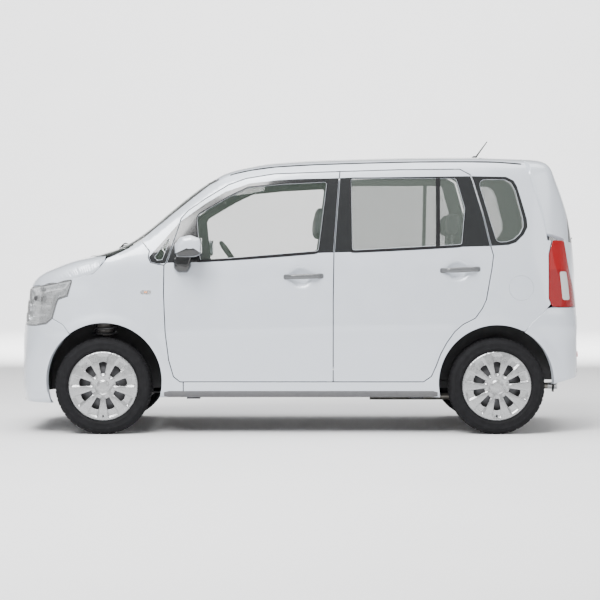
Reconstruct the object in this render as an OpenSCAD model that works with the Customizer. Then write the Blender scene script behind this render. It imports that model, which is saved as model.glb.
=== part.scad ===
// Kei car: small five-door hatchback with a tall cabin.
// Frame: ground level under the middle of the car, +X to the rear, +Y to the car's right, +Z up.

/* [Overall] */
// Length from bumper to bumper
length = 3395; // [2825:5:4075]
// Width of the body without its mirrors
width = 1475; // [1225:5:1775]
// Height of the roof above the ground
height = 1677; // [1395:1:2015]
// Distance between the axles
wheelbase = 2350; // [2050:5:2500]
// Distance between the middles of the tyres of one axle
track = 1294; // [1080:2:1560]

/* [Wheels] */
// Outer radius of the tyre
tyre_r = 289; // [240:1:350]
// Width of the tyre
tyre_w = 165; // [137:1:200]
// Radius of the rim where the tyre sits
rim_r = 190; // [158:1:230]
// Openings round each wheel cover
cover_openings = 9; // [5:1:11]
// Radius of the hub pin that carries each wheel
hub_r = 26; // [21:1:32]
// Steering axis, inboard of the middle of the tyre
kingpin_inset = 87; // [75:1:110]

/* [Body shell] */
// Thickness of a door and of the body side at its widest
side_wall = 87; // [72:1:105]
// Thickness of the roof and its lining
roof_wall = 40; // [33:1:48]
// Thickness of the bonnet
bonnet_wall = 35; // [29:1:42]
// Thickness of the tailgate
gate_wall = 55; // [46:1:66]
// Gap round every panel that opens
panel_gap = 6; // [5:0.5:8]
// Outer skin of a door, which reaches past its inner frame
door_skin = 25; // [20:1:30]
// Step between a door's skin and its inner frame
door_step = 14; // [11:1:17]
// Thickness of all the glass
glass_t = 5; // [4:0.5:6]
// Clearance of a pane in its frame and of a seat on its runners
fit_gap = 0.3; // [0.2:0.1:0.5]
// Room between the tyre and the wheel arch
arch_room = 56; // [47:1:67]
// Thickness of the floor, the firewall and the wheelhouses
sheet_t = 6; // [5:1:8]

/* [Cabin] */
// Height of the cabin floor
floor_z = 235; // [220:1:260]
// Radius of the steering wheel
steering_r = 180; // [150:1:200]
// Tilt of the steering column above level
steering_tilt = 35; // [29:1:42]
// Width of one front seat
seat_w = 470; // [400:5:490]

/* [Hidden] */
$fn = 48;
side_signs = [-1, 1];
axle_z = tyre_r;
axle_x = wheelbase / 2;
wheel_y = track / 2;
kingpin_y = wheel_y - kingpin_inset;
arch_r = tyre_r + arch_room;
front_arch = [fx(-1172), axle_z + 30];
rear_arch = [fx(1176), axle_z + 17];
liner_r = arch_r + 8;
inner_y = fy(737.5) - side_wall;

// The body is drawn at the nominal size and stretched to the set one.
function fx(v) = abs(v) <= 1175 ? v * wheelbase / 2350
    : sign(v) * (wheelbase / 2 + (abs(v) - 1175) * (length - wheelbase) / 1045);
function fy(v) = v * width / 1475;
low_z = 330 + axle_z - 289;
function fz(v) = v <= 330 ? v + axle_z - 289 : low_z + (v - 330) * (height - low_z) / 1347;
function outline(points) = [for (p = points) [fx(p[0]), fz(p[1])]];

// Lines of the body: [x, z] along the middle, the shoulder and the lower edge.
top_line = [
    [-1697.5, 560], [-1690, 620], [-1668, 720], [-1645, 860], [-1625, 925], [-1580, 966],
    [-1485, 1010], [-1365, 1052], [-1205, 1086], [-1110, 1115], [-534, 1540], [-450, 1584],
    [-340, 1613], [-160, 1642], [250, 1664], [880, 1677], [1090, 1677], [1285, 1671],
    [1430, 1665], [1480, 1657], [1515, 1635], [1550, 1560], [1598, 1440], [1638, 1310],
    [1660, 1190], [1672, 1070], [1678, 960], [1682, 720], [1690, 660], [1697.5, 560]];
shoulder_line = [
    [-1697.5, 500], [-1668, 620], [-1645, 740], [-1580, 850], [-1485, 900], [-1365, 950],
    [-1205, 1000], [-1110, 1030], [-800, 1045], [1550, 1045], [1640, 1000], [1672, 900],
    [1682, 620], [1697.5, 500]];
bottom_line = [
    [-1697.5, 225], [-1670, 195], [-1620, 178], [-1500, 182], [-1300, 214], [1300, 214],
    [1450, 290], [1680, 305], [1697.5, 350]];
// Half widths along the body: [x, y] at the bumpers and at the shoulder.
waist_plan = [
    [-1697.5, 330], [-1690, 430], [-1668, 540], [-1645, 600], [-1600, 655], [-1540, 695],
    [-1450, 722], [-1300, 735], [-1110, 737.5], [1200, 737.5], [1400, 728], [1500, 710],
    [1580, 680], [1640, 630], [1670, 570], [1685, 500], [1697.5, 380]];
shoulder_plan = [
    [-1697.5, 320], [-1668, 500], [-1645, 545], [-1600, 600], [-1540, 640], [-1450, 668],
    [-1300, 685], [-1110, 694], [-800, 698], [1100, 698], [1300, 688], [1450, 662],
    [1550, 620], [1600, 585], [1640, 530], [1665, 470], [1697.5, 340]];
// Upper half of a cross-section as shares of its half width and height.
cabin_curve = [
    [0.877, 0.791], [0.865, 0.842], [0.838, 0.897], [0.781, 0.941], [0.673, 0.967],
    [0.430, 0.992], [0, 1]];
nose_curve = [
    [0.985, 0.35], [0.955, 0.58], [0.910, 0.72], [0.830, 0.83], [0.680, 0.92],
    [0.400, 0.98], [0, 1]];

function clamp01(v) = max(0, min(1, v));
function mix(a, b, k) = a + (b - a) * k;
function upper_points(half, low, high, k) = [
    for (i = [0:len(cabin_curve) - 1]) let (c = mix(nose_curve[i], cabin_curve[i], k))
        [half * c[0], mix(low, high, c[1])]];
function cabin_share(v) = clamp01((lookup(v, top_line) - lookup(v, shoulder_line) - 120) / 450);
function closed_section(half) = concat(
    [for (p = half) [-p[0], p[1]]],
    [for (i = [len(half) - 2:-1:0]) half[i]]);

// Outer cross-section at the nominal place v.
function outer_half(v) =
    let (low = fz(lookup(v, bottom_line)), belt = fz(lookup(v, shoulder_line)),
         wide = fy(lookup(v, waist_plan)), half = fy(lookup(v, shoulder_plan)))
    concat(
        [[wide - 60, low], [wide - 20, low + 35], [wide - 7, mix(low, belt, 0.3)],
         [wide, mix(low, belt, 0.5)], [mix(wide, half, 0.4), mix(low, belt, 0.78)], [half, belt]],
        upper_points(half, belt, fz(lookup(v, top_line)), cabin_share(v)));
outer_stations = [
    -1697.5, -1690, -1668, -1645, -1600, -1540, -1450, -1300, -1110, -950, -800, -660, -534,
    -400, -160, 250, 880, 1100, 1300, 1400, 1480, 1515, 1550, 1598, 1640, 1662, 1676, 1685, 1697.5];

// Inner cross-section; "inset" moves it further in, for the pillars.
function wall_over(v) = v < -1110 ? bonnet_wall : roof_wall;
function inner_top(v) = min(
    fz(lookup(v, top_line)) - wall_over(v),
    fz(lookup(v - bonnet_wall, top_line)),
    fz(lookup(v + gate_wall, top_line)));
function inner_side(v) = min(inner_y, fy(lookup(v, shoulder_plan)) - 40);
function inner_half(v, inset) =
    let (side = inner_side(v) - inset,
         belt = min(fz(lookup(v, shoulder_line)), inner_top(v) - 40))
    concat([[side, -50], [side, belt]], upper_points(side, belt, inner_top(v) - inset, cabin_share(v)));
inner_stations = [
    -1590, -1540, -1450, -1300, -1110, -950, -800, -660, -534, -400, -160, 250, 880, 1100,
    1300, 1400, 1450, 1495, 1545, 1583, 1605, 1620];

// Joins each cross-section to the next.
module loft(stations, sections) {
    n = len(sections[0]);
    for (i = [0:len(stations) - 2])
        hull()
            polyhedron(
                points = concat(
                    [for (p = sections[i]) [stations[i], p[0], p[1]]],
                    [for (p = sections[i + 1]) [stations[i + 1], p[0], p[1]]]),
                faces = concat(
                    [[for (j = [0:n - 1]) j]], [[for (j = [n - 1:-1:0]) n + j]],
                    [for (j = [0:n - 1]) [j, n + j, n + (j + 1) % n, (j + 1) % n]]));
}

module outer_body()
    loft([for (v = outer_stations) fx(v)], [for (v = outer_stations) closed_section(outer_half(v))]);

module inner_body(inset = 0)
    loft([for (v = inner_stations) fx(v)], [for (v = inner_stations) closed_section(inner_half(v, inset))]);

module shell() {
    difference() {
        outer_body();
        inner_body();
    }
}

// A skin of thickness t under the outer surface of one side, or of the top and ends.
module side_skin(t, s) {
    difference() {
        outer_body();
        translate([0, -s * t, 0])
            outer_body();
    }
}

module top_skin(t, dx) {
    difference() {
        outer_body();
        translate([dx, 0, -t])
            outer_body();
    }
}

// Prisms seen from the side, from the front and from above.
module from_side()
    translate([0, width, 0])
        rotate([90, 0, 0])
            linear_extrude(2 * width)
                children();

module side_band(y0, y1, s)
    translate([0, s > 0 ? y1 : -y0, 0])
        rotate([90, 0, 0])
            linear_extrude(y1 - y0)
                children();

module from_front(x0, x1)
    translate([x0, 0, 0])
        rotate([90, 0, 90])
            linear_extrude(x1 - x0)
                children();

module block(x, y, z)
    translate([x[0], y[0], z[0]])
        cube([x[1] - x[0], y[1] - y[0], z[1] - z[0]]);

// Seams of the panels, seen from the side, from the middle of each gap.
front_door_seam = outline([
    [-812, 1010], [-814, 840], [-803, 603], [-783, 443], [-755, 345], [-716, 314], [198, 314],
    [198, 803], [203, 1090], [240, 1573], [-153, 1559], [-325, 1531], [-429, 1493],
    [-566, 1410], [-669, 1338], [-713, 1290], [-722, 1255], [-797, 1027]]);
rear_door_seam = outline([
    [198, 314], [198, 803], [203, 1090], [240, 1573], [600, 1584], [961, 1587], [1023, 1553],
    [1036, 1518], [1095, 1317], [1140, 1124], [1156, 1069], [1145, 987], [1111, 803],
    [1088, 754], [1045, 694], [972, 657], [923, 615], [875, 548], [839, 481], [809, 402],
    [784, 347], [737, 314]]);
front_window = outline([
    [-620, 1030], [-626, 1303], [-613, 1320], [-428, 1427], [-311, 1480], [-100, 1503],
    [151, 1514], [161, 1504], [105, 1090]]);
rear_window = outline([
    [310, 1095], [305, 1525], [312, 1531], [926, 1535], [940, 1525], [989, 1352], [968, 1131]]);
front_quarter = outline([[-882, 1054], [-858, 1036], [-822, 1036], [-768, 1200]]);
rear_quarter = outline([
    [1066, 1528], [1235, 1526], [1275, 1503], [1300, 1455], [1344, 1290], [1346, 1240],
    [1324, 1195], [1285, 1158], [1243, 1144], [1172, 1140]]);
bonnet_seam = outline([
    [-1760, 876], [-1562, 890], [-1366, 928], [-1237, 962], [-1200, 996], [-1160, 1046],
    [-1160, 1250], [-1760, 1250]]);
headlamp_edge = outline([
    [-1760, 640], [-1587, 646], [-1516, 658], [-1480, 690], [-1456, 777], [-1445, 805],
    [-1389, 825], [-1368, 905], [-1366, 928], [-1562, 890], [-1760, 876]]);
front_bumper_edge = outline([
    [-1760, 640], [-1587, 646], [-1516, 658], [-1480, 690], [-1420, 658], [-1375, 600],
    [-1300, 480], [-1300, 120], [-1760, 120]]);
fender_edge = outline([
    [-1480, 690], [-1456, 777], [-1445, 805], [-1389, 825], [-1368, 905], [-1366, 928],
    [-1237, 962], [-1200, 996], [-1160, 1046], [-1160, 1130], [-985, 1190], [-952, 1161],
    [-900, 1095], [-904, 1057], [-890, 1030], [-858, 1018], [-806, 1018], [-812, 1010],
    [-814, 840], [-803, 603], [-783, 443], [-755, 345], [-716, 314], [-697, 314], [-697, 120],
    [-1300, 120], [-1300, 480], [-1375, 600], [-1420, 658]]);
gate_seam = outline([
    [1352, 1720], [1352, 1640], [1378, 1568], [1420, 1429], [1456, 1314], [1481, 1199],
    [1488, 1162], [1760, 1162], [1760, 1720]]);
tail_lamp_edge = outline([
    [1488, 1162], [1493, 1077], [1488, 811], [1518, 760], [1760, 760], [1760, 1162]]);
rear_bumper_edge = outline([
    [1478, 760], [1340, 613], [1200, 480], [1200, 120], [1760, 120], [1760, 760]]);
lamp_inner_y = fy(560);
headlamp_inner_y = fy(365);
gate_low_z = fz(705);
roof_edge_y = fy(560);
windscreen_front = [
    [fy(-652), fz(1062)], [fy(652), fz(1062)], [fy(556), fz(1532)], [fy(-556), fz(1532)]];

// Half width of the body at the place v and the height z.
function side_y(v, z) = lookup(z, [for (p = outer_half(v)) [p[1], p[0]]]);

// Hinge lines of the doors, the bonnet and the tailgate: the pin lies in the gap.
pin_r = panel_gap / 2 - fit_gap;
front_door_hinge = [fx(-814), side_y(-814, fz(629)) - 3];
rear_door_hinge = [fx(198), side_y(198, fz(629)) - 3];
bonnet_hinge = [fx(-1160), fz(lookup(-1160, top_line)) - 2];
gate_hinge = [fx(1352), fz(lookup(1352, top_line)) - 2];
flap_middle = [fx(1322), fz(874)];
flap_r = 76;
flap_gap = 5;
flap_hinge = [flap_middle[0] - flap_r - flap_gap / 2, side_y(1246, flap_middle[1] - 15) - 2];

module arch_cut(radius_more = 0) {
    for (arch = [front_arch, rear_arch])
        translate(arch)
            circle(arch_r + radius_more, $fn = 96);
}

module seam_2d(seam, grow = 0) {
    offset(delta = grow)
        polygon(seam);
}

module door_outline(seam, shrink) {
    difference() {
        seam_2d(seam, -shrink);
        arch_cut(38 + shrink);
    }
}

module door_opening(seam) {
    difference() {
        seam_2d(seam, panel_gap / 2);
        arch_cut(38 - panel_gap / 2);
    }
}

// ---- Body ----

// Short pins in the gap carry each door.
module door_hinges(hinge, s) {
    for (z = [560, 645])
        translate([hinge[0], s * hinge[1], fz(z)]) {
            cylinder(r = pin_r, h = 55, $fn = 24);
            translate([-panel_gap / 2 - 1, s > 0 ? -14 : 0, 0])
                cube([panel_gap / 2 + 0.5, 14, 55]);
        }
}

// Middle pillar: behind both doors, and joined to the sill and the roof rail.
module pillar(x0, x1, s) {
    foot_z = floor_z + fit_gap;
    for (part = [[foot_z, height, panel_gap], [foot_z, fz(300), 0], [fz(1590), height, 0]])
        intersection() {
            difference() {
                inner_body(part[2]);
                inner_body(panel_gap + 40);
            }
            block([x0, x1], s > 0 ? [0, width] : [-width, 0], [part[0], part[1]]);
        }
}

module body_side(s) {
    color([0.80, 0.82, 0.86])
        union() {
            difference() {
                intersection() {
                    shell();
                    side_band(fy(300), width, s)
                        polygon([[fx(-1160), fz(120)], [fx(1590), fz(120)], [fx(1590), height + 60],
                                 [fx(-1160), height + 60]]);
                }
                from_side()
                    door_opening(front_door_seam);
                from_side()
                    door_opening(rear_door_seam);
                from_side()
                    seam_2d(gate_seam, panel_gap / 2);
                from_side()
                    polygon(tail_lamp_edge);
                from_side()
                    polygon(rear_bumper_edge);
                from_side()
                    polygon(fender_edge);
                from_side()
                    polygon(front_quarter);
                from_side()
                    polygon(rear_quarter);
                from_side()
                    arch_cut();
                block([fx(-560), fx(1500)], [-roof_edge_y, roof_edge_y], [fz(1300), height + 60]);
                from_front(fx(-1300), fx(-500))
                    polygon(windscreen_front);
                if (s < 0)
                    side_band(0, width, s)
                        translate(flap_middle)
                            circle(flap_r + flap_gap, $fn = 64);
                block([fx(1440), fx(1700)], [-lamp_inner_y, lamp_inner_y], [fz(120), height + 60]);
            }
            pillar(fx(155), fx(250), s);
            pillar_hinges(s);
            if (s < 0)
                fuel_recess();
        }
}

// Cup behind the fuel flap, and its hinge pin.
module fuel_recess() {
    difference() {
        side_band(inner_y - 14, inner_y + 22, -1)
            translate(flap_middle)
                circle(flap_r + flap_gap + 7, $fn = 64);
        side_band(inner_y - 8, width, -1)
            translate(flap_middle)
                circle(flap_r + flap_gap - 3, $fn = 64);
        side_band(0, width, -1)
            translate(flap_middle)
                circle(25, $fn = 48);
    }
    translate([flap_hinge[0], -flap_hinge[1], flap_middle[1] - 15]) {
        cylinder(r = flap_gap / 2 - fit_gap, h = 30, $fn = 24);
        translate([-flap_gap / 2 - 2, 0, 0])
            cube([flap_gap / 2 + 1.5, 8, 30]);
    }
}

// Arms from the middle pillar, in the gap between the doors, carry each rear door.
module pillar_hinges(s) {
    for (z = [560, 645])
        translate([rear_door_hinge[0], 0, fz(z)]) {
            translate([0, s * rear_door_hinge[1], 0])
                cylinder(r = pin_r, h = 55, $fn = 24);
            block([-pin_r + 0.4, -0.3], s > 0 ? [inner_y - 12, rear_door_hinge[1]]
                  : [-rear_door_hinge[1], -inner_y + 12], [0, 55]);
            block([-6, 6], s > 0 ? [inner_y - 12, rear_door_hinge[1] - door_skin - 4]
                  : [-rear_door_hinge[1] + door_skin + 4, -inner_y + 12], [0, 55]);
        }
}

module body_side_left() body_side(-1);
module body_side_right() body_side(1);

module roof() {
    color([0.80, 0.82, 0.86])
        union() {
            difference() {
                intersection() {
                    shell();
                    block([fx(-545), fx(1500)], [-roof_edge_y, roof_edge_y], [fz(1300), height + 60]);
                }
                from_side()
                    seam_2d(gate_seam, panel_gap / 2);
                from_front(fx(-1300), fx(-535))
                    polygon(windscreen_front);
            }
            for (y = [-80, 20])
                translate([gate_hinge[0], y, gate_hinge[1]]) {
                    rotate([-90, 0, 0])
                        cylinder(r = pin_r, h = 60, $fn = 24);
                    translate([-panel_gap / 2 - 1, 0, -pin_r * 0.9])
                        cube([panel_gap / 2 + 1, 60, pin_r * 1.2]);
                }
        }
}

module front_fenders() {
    color([0.80, 0.82, 0.86])
        for (s = side_signs)
            union() {
                difference() {
                    intersection() {
                        shell();
                        side_band(fy(300), width, s)
                            polygon(fender_edge);
                    }
                    from_side()
                        door_opening(front_door_seam);
                    from_side()
                        seam_2d(bonnet_seam, panel_gap / 2);
                    from_side()
                        polygon(front_quarter);
                    from_side()
                        arch_cut();
                    from_front(fx(-1300), fx(-500))
                        polygon(windscreen_front);
                    block([fx(-1170), fx(-1085)], [-fy(652), fy(652)], [fz(900), fz(1300)]);
                }
                door_hinges(front_door_hinge, s);
            }
}

module cowl() {
    color([0.10, 0.10, 0.11])
        union() {
            difference() {
                intersection() {
                    shell();
                    block([bonnet_hinge[0] + panel_gap / 2, fx(-1085)],
                          [-fy(652) + fit_gap, fy(652) - fit_gap], [fz(900), fz(1200)]);
                }
                from_front(fx(-1110), fx(-500))
                    polygon(windscreen_front);
            }
            for (y = [-80, 20])
                translate([bonnet_hinge[0], y, bonnet_hinge[1]]) {
                    rotate([-90, 0, 0])
                        cylinder(r = pin_r, h = 60, $fn = 24);
                    translate([0, 0, -pin_r * 0.9])
                        cube([panel_gap / 2 + 2, 60, pin_r * 1.2]);
                }
        }
}

module windscreen() {
    color([0.62, 0.68, 0.66, 0.5])
        intersection() {
            top_skin(glass_t * 1.2, 0);
            from_front(fx(-1110), fx(-535))
                offset(delta = -fit_gap)
                    polygon(windscreen_front);
            block([fx(-1110), fx(-537)], [-width, width], [fz(900), height]);
        }
}

module pane(edge, s) {
    intersection() {
        side_skin(glass_t, s);
        side_band(fy(300), width, s)
            offset(delta = -fit_gap)
                polygon(edge);
    }
}

module quarter_windows() {
    color([0.30, 0.32, 0.31, 0.6])
        for (s = side_signs) {
            pane(front_quarter, s);
            pane(rear_quarter, s);
        }
}

// ---- Doors ----

module door(seam, window, s) {
    color([0.80, 0.82, 0.86])
        difference() {
            union() {
                intersection() {
                    side_skin(door_skin, s);
                    side_band(roof_edge_y + panel_gap, width, s)
                        door_outline(seam, panel_gap / 2);
                }
                intersection() {
                    shell();
                    side_band(roof_edge_y + panel_gap, width, s)
                        door_outline(seam, panel_gap / 2 + door_step);
                }
            }
            side_band(0, width, s)
                polygon(window);
        }
}

// Handle bar on two feet.
module door_handle(x, z, s) {
    y = fy(732);
    color([0.45, 0.46, 0.48])
        union() {
            side_band(y + 12, y + 24, s)
                hull() {
                    translate([x - 95, z])
                        circle(14, $fn = 32);
                    translate([x + 95, z + 4])
                        circle(14, $fn = 32);
                }
            for (dx = [-88, 88])
                side_band(y - 45, y + 14, s)
                    translate([x + dx, z])
                        circle(10, $fn = 32);
        }
}

module front_door(s) {
    door(front_door_seam, front_window, s);
    door_handle(fx(20), fz(942), s);
}

module rear_door(s) {
    door(rear_door_seam, rear_window, s);
    door_handle(fx(956), fz(980), s);
}

module front_door_left() front_door(-1);
module front_door_right() front_door(1);
module rear_door_left() rear_door(-1);
module rear_door_right() rear_door(1);

module door_glass(window, s, tint)
    color(tint)
        pane(window, s);

module front_window_left() door_glass(front_window, -1, [0.72, 0.78, 0.72, 0.5]);
module front_window_right() door_glass(front_window, 1, [0.72, 0.78, 0.72, 0.5]);
module rear_window_left() door_glass(rear_window, -1, [0.40, 0.43, 0.41, 0.6]);
module rear_window_right() door_glass(rear_window, 1, [0.40, 0.43, 0.41, 0.6]);

// Mirror housing on its foot, which starts at the door skin.
module door_mirror(s) {
    foot_y = fy(716);
    color([0.80, 0.82, 0.86])
        difference() {
            translate([fx(-700), 0, fz(1000)])
                scale([1, s, 1])
                    union() {
                        hull() {
                            translate([-12, foot_y + 70, 88])
                                sphere(34, $fn = 24);
                            translate([-12, foot_y + 155, 88])
                                sphere(30, $fn = 24);
                            translate([58, foot_y + 60, 62])
                                cube([50, 118, 100]);
                        }
                        hull() {
                            translate([-45, foot_y - 20, -30])
                                cube([100, 38, 50]);
                            translate([-20, foot_y + 60, 40])
                                cube([90, 40, 30]);
                        }
                    }
            outer_body();
        }
}

// ---- Bonnet, tailgate and fuel flap ----

module bonnet() {
    color([0.80, 0.82, 0.86])
        intersection() {
            shell();
            from_side()
                seam_2d(bonnet_seam, -panel_gap / 2);
        }
}

module gate_volume(shrink) {
    from_side()
        seam_2d(gate_seam, -shrink);
    block([fx(1470), fx(1720)], [-lamp_inner_y + 2 * shrink, lamp_inner_y - 2 * shrink],
          [gate_low_z + shrink, fz(1200)]);
}

gate_window = [
    [fy(-500), fz(1130)], [fy(500), fz(1130)], [fy(470), fz(1440)], [fy(430), fz(1490)],
    [fy(-430), fz(1490)], [fy(-470), fz(1440)]];

module tailgate() {
    color([0.80, 0.82, 0.86])
        difference() {
            intersection() {
                shell();
                gate_volume(panel_gap / 2);
            }
            from_front(fx(1460), fx(1760))
                polygon(gate_window);
            plate_seat(fx(1672), fx(1760), rear_plate_z);
            plate_holes(fx(1560), fx(1760), rear_plate_z);
        }
}

module tailgate_window() {
    color([0.30, 0.32, 0.31, 0.6])
        intersection() {
            top_skin(0, -glass_t);
            from_front(fx(1460), fx(1760))
                offset(delta = -fit_gap)
                    polygon(gate_window);
        }
}

module fuel_flap() {
    color([0.80, 0.82, 0.86])
        intersection() {
            side_skin(6, -1);
            side_band(0, width, -1)
                translate(flap_middle)
                    circle(flap_r, $fn = 64);
        }
}

// ---- Bumpers, grille and lamps ----

plate_w = 330;
plate_h = 165;
plate_t = 4;
plate_hole_gap = 210;
plate_hole_r = 3.5;
plate_hole_up = 60;
front_plate_x = fx(-1697.5) + 1;
front_plate_z = fz(515);
rear_plate_x = fx(1672) + fit_gap;
rear_plate_z = fz(830);

// Holes of the two screws of a plate.
module plate_holes(x0, x1, z)
    for (y = [-plate_hole_gap / 2, plate_hole_gap / 2])
        translate([x0, y, z + plate_hole_up])
            rotate([0, 90, 0])
                cylinder(r = plate_hole_r, h = x1 - x0);

// Shallow seat that a plate lies in, open to the outside.
module plate_seat(x0, x1, z)
    block([x0, x1], [-plate_w / 2 - 2, plate_w / 2 + 2], [z - plate_h / 2 - 2, z + plate_h / 2 + 2]);

module front_bumper() {
    color([0.80, 0.82, 0.86])
        difference() {
            intersection() {
                shell();
                union() {
                    from_side()
                        polygon(front_bumper_edge);
                    block([fx(-1720), fx(-1560)], [-headlamp_inner_y, headlamp_inner_y],
                          [fz(600), fz(706)]);
                }
            }
            from_side()
                arch_cut();
            block([fx(-1720), fx(-1560)], [-fy(430), fy(430)], [fz(270), fz(420)]);
            plate_seat(fx(-1720), front_plate_x + plate_t + fit_gap, front_plate_z);
            plate_holes(fx(-1720), fx(-1600), front_plate_z);
            translate([fx(-1720), eye_y, eye_z])
                rotate([0, 90, 0])
                    cylinder(r = eye_r + 14, h = 200);
        }
}

// Bars of the upper and the lower grille.
module grille() {
    color([0.12, 0.12, 0.13])
        union() {
            intersection() {
                shell();
                union() {
                    for (z = [fz(706):34:fz(846)])
                        block([fx(-1720), fx(-1550)], [-headlamp_inner_y, headlamp_inner_y],
                              [z, z + 14]);
                    for (y = [-headlamp_inner_y, -14, headlamp_inner_y - 28])
                        block([fx(-1720), fx(-1550)], [y, y + 28], [fz(706), fz(858)]);
                    block([fx(-1720), fx(-1550)], [-headlamp_inner_y, headlamp_inner_y],
                          [fz(846), fz(876) - 6]);
                }
            }
            intersection() {
                translate([14, 0, 0])
                    shell();
                union() {
                    for (z = [fz(270):34:fz(406)])
                        block([fx(-1720), fx(-1550)], [-fy(430), fy(430)], [z, z + 14]);
                    for (y = [-fy(430), -14, fy(430) - 28])
                        block([fx(-1720), fx(-1550)], [y, y + 28], [fz(270), fz(420)]);
                }
            }
        }
}

module headlamps() {
    color([0.85, 0.87, 0.88])
        difference() {
            intersection() {
                shell();
                from_side()
                    polygon(headlamp_edge);
            }
            from_side()
                seam_2d(bonnet_seam, panel_gap / 2);
            block([fx(-1760), fx(-1300)], [-headlamp_inner_y, headlamp_inner_y], [fz(500), fz(1000)]);
        }
}

module tail_lamps() {
    color([0.75, 0.10, 0.12])
        difference() {
            intersection() {
                shell();
                from_side()
                    polygon(tail_lamp_edge);
            }
            gate_volume(-panel_gap / 2);
            block([fx(1400), fx(1760)], [-lamp_inner_y, lamp_inner_y], [fz(500), fz(1300)]);
        }
}

module rear_bumper() {
    color([0.80, 0.82, 0.86])
        difference() {
            intersection() {
                shell();
                from_side()
                    polygon(rear_bumper_edge);
            }
            from_side()
                arch_cut();
            gate_volume(-panel_gap / 2);
        }
}

// ---- Floor and what it carries ----

seat_rail_top = fz(330);
tank_top = fz(318);

// Plan of the space inside the body walls, for all that is built into it.
module inner_plan()
    linear_extrude(height)
        polygon(concat(
            [for (v = inner_stations) [fx(v), inner_side(v) - fit_gap]],
            [for (i = [len(inner_stations) - 1:-1:0])
                [fx(inner_stations[i]), -inner_side(inner_stations[i]) + fit_gap]]));

// Round wheelhouse with its inner wall, which starts at the height "low".
module wheelhouse(middle, inner, low, s) {
    side_band(inner, width, s)
        difference() {
            translate(middle)
                circle(liner_r + sheet_t, $fn = 96);
            translate(middle)
                circle(liner_r, $fn = 96);
            translate([middle[0] - 2 * liner_r, middle[1] - 2 * liner_r])
                square([4 * liner_r, 2 * liner_r - 60]);
        }
    side_band(inner - sheet_t, inner, s)
        difference() {
            translate(middle)
                circle(liner_r + sheet_t, $fn = 96);
            translate([middle[0] - 2 * liner_r, low - 2 * liner_r])
                square([4 * liner_r, 2 * liner_r]);
        }
}

front_house_y = kingpin_y - 172;
rear_house_y = wheel_y - tyre_w / 2 - 36;
firewall_x = fx(-900);
strut_top = front_arch[1] + liner_r + 20;
jack_x = [fx(-640), fx(700)];
jack_z = fz(208);

module arch_cylinders(more) {
    for (s = side_signs) {
        side_band(front_house_y - sheet_t, width, s)
            translate(front_arch)
                circle(liner_r + more, $fn = 96);
        side_band(rear_house_y - sheet_t, width, s)
            translate(rear_arch)
                circle(liner_r + more, $fn = 96);
    }
}

// Cabin floor, step up under the rear seat, luggage floor and firewall.
module floor_plates() {
    union() {
        block([firewall_x, fx(480)], [-inner_y, inner_y], [floor_z - sheet_t, floor_z]);
        block([fx(480) - sheet_t, fx(480)], [-inner_y, inner_y], [floor_z - sheet_t, tank_top + sheet_t]);
        block([fx(470), fx(1400)], [-inner_y, inner_y], [tank_top, tank_top + sheet_t]);
        block([fx(1390), fx(1590)], [-fy(540), fy(540)], [tank_top, tank_top + sheet_t]);
        block([firewall_x - sheet_t, firewall_x], [-inner_y, inner_y], [floor_z - sheet_t, fz(1000)]);
        block([firewall_x - sheet_t, fx(480)], [-fy(75), fy(75)], [floor_z - 1, floor_z + 45]);
        block([fx(1560), fx(1590)], [-fy(520), fy(520)], [tank_top + 1, fz(470)]);
    }
}

// Rails from the firewall to the beam behind the front bumper.
module front_rails() {
    for (s = side_signs)
        block([fx(-1560), firewall_x - 1], s > 0 ? [300, 356] : [-356, -300], [fz(390), fz(470)]);
    block([fx(-1585), fx(-1550)], [-fy(480), fy(480)], [fz(460), fz(560)]);
}

spring_x = axle_x - 60;
spring_y = rear_house_y - 75;
spring_top = fz(400);
spring_r = 56;
strut_r = 54;
tower_base = front_arch[1] + sqrt(pow(liner_r + sheet_t / 2, 2) - 62 * 62);

// Tower over each strut, seat over each spring, bracket of each trailing arm.
module towers(s) {
    translate([-axle_x, s * kingpin_y, tower_base])
        cylinder(r = strut_r + 8, h = strut_top + 8 - tower_base);
    translate([spring_x, s * spring_y, tank_top + 1])
        cylinder(r = spring_r + sheet_t, h = spring_top + 8 - tank_top);
    block([fx(840) - 30, fx(840)], s > 0 ? [rear_house_y - 90, rear_house_y - 40]
          : [-rear_house_y + 40, -rear_house_y + 90], [axle_z - 25, tank_top + 1]);
}

module tower_rooms(s) {
    translate([-axle_x, s * kingpin_y, front_arch[1]])
        cylinder(r = strut_r, h = strut_top - front_arch[1]);
    translate([spring_x, s * spring_y, tank_top - 1])
        cylinder(r = spring_r, h = spring_top - tank_top + 1);
}

// Rails under each front seat, and the two jacking pads of each sill.
module rails_and_pads(s) {
    for (x = [fx(-380), fx(0)])
        block([x, x + 60], s > 0 ? [fy(160), fy(540)] : [-fy(540), -fy(160)],
              [floor_z - 1, seat_rail_top]);
    for (x = jack_x)
        block([x - 40, x + 40], s > 0 ? [inner_y - 70, inner_y - 10] : [-inner_y + 10, -inner_y + 70],
              [jack_z, x > fx(480) ? tank_top + 1 : floor_z - 1]);
}

// Threaded hole for the towing eye, in the beam.
eye_x = fx(-1585);
eye_y = fy(400);
eye_z = fz(515);
eye_r = 8;
column_r = 11;

// Rod along the steering column: z runs up towards the driver.
module along_column()
    translate(steering_middle)
        rotate([0, 90 - steering_tilt, 0])
            children();

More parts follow.
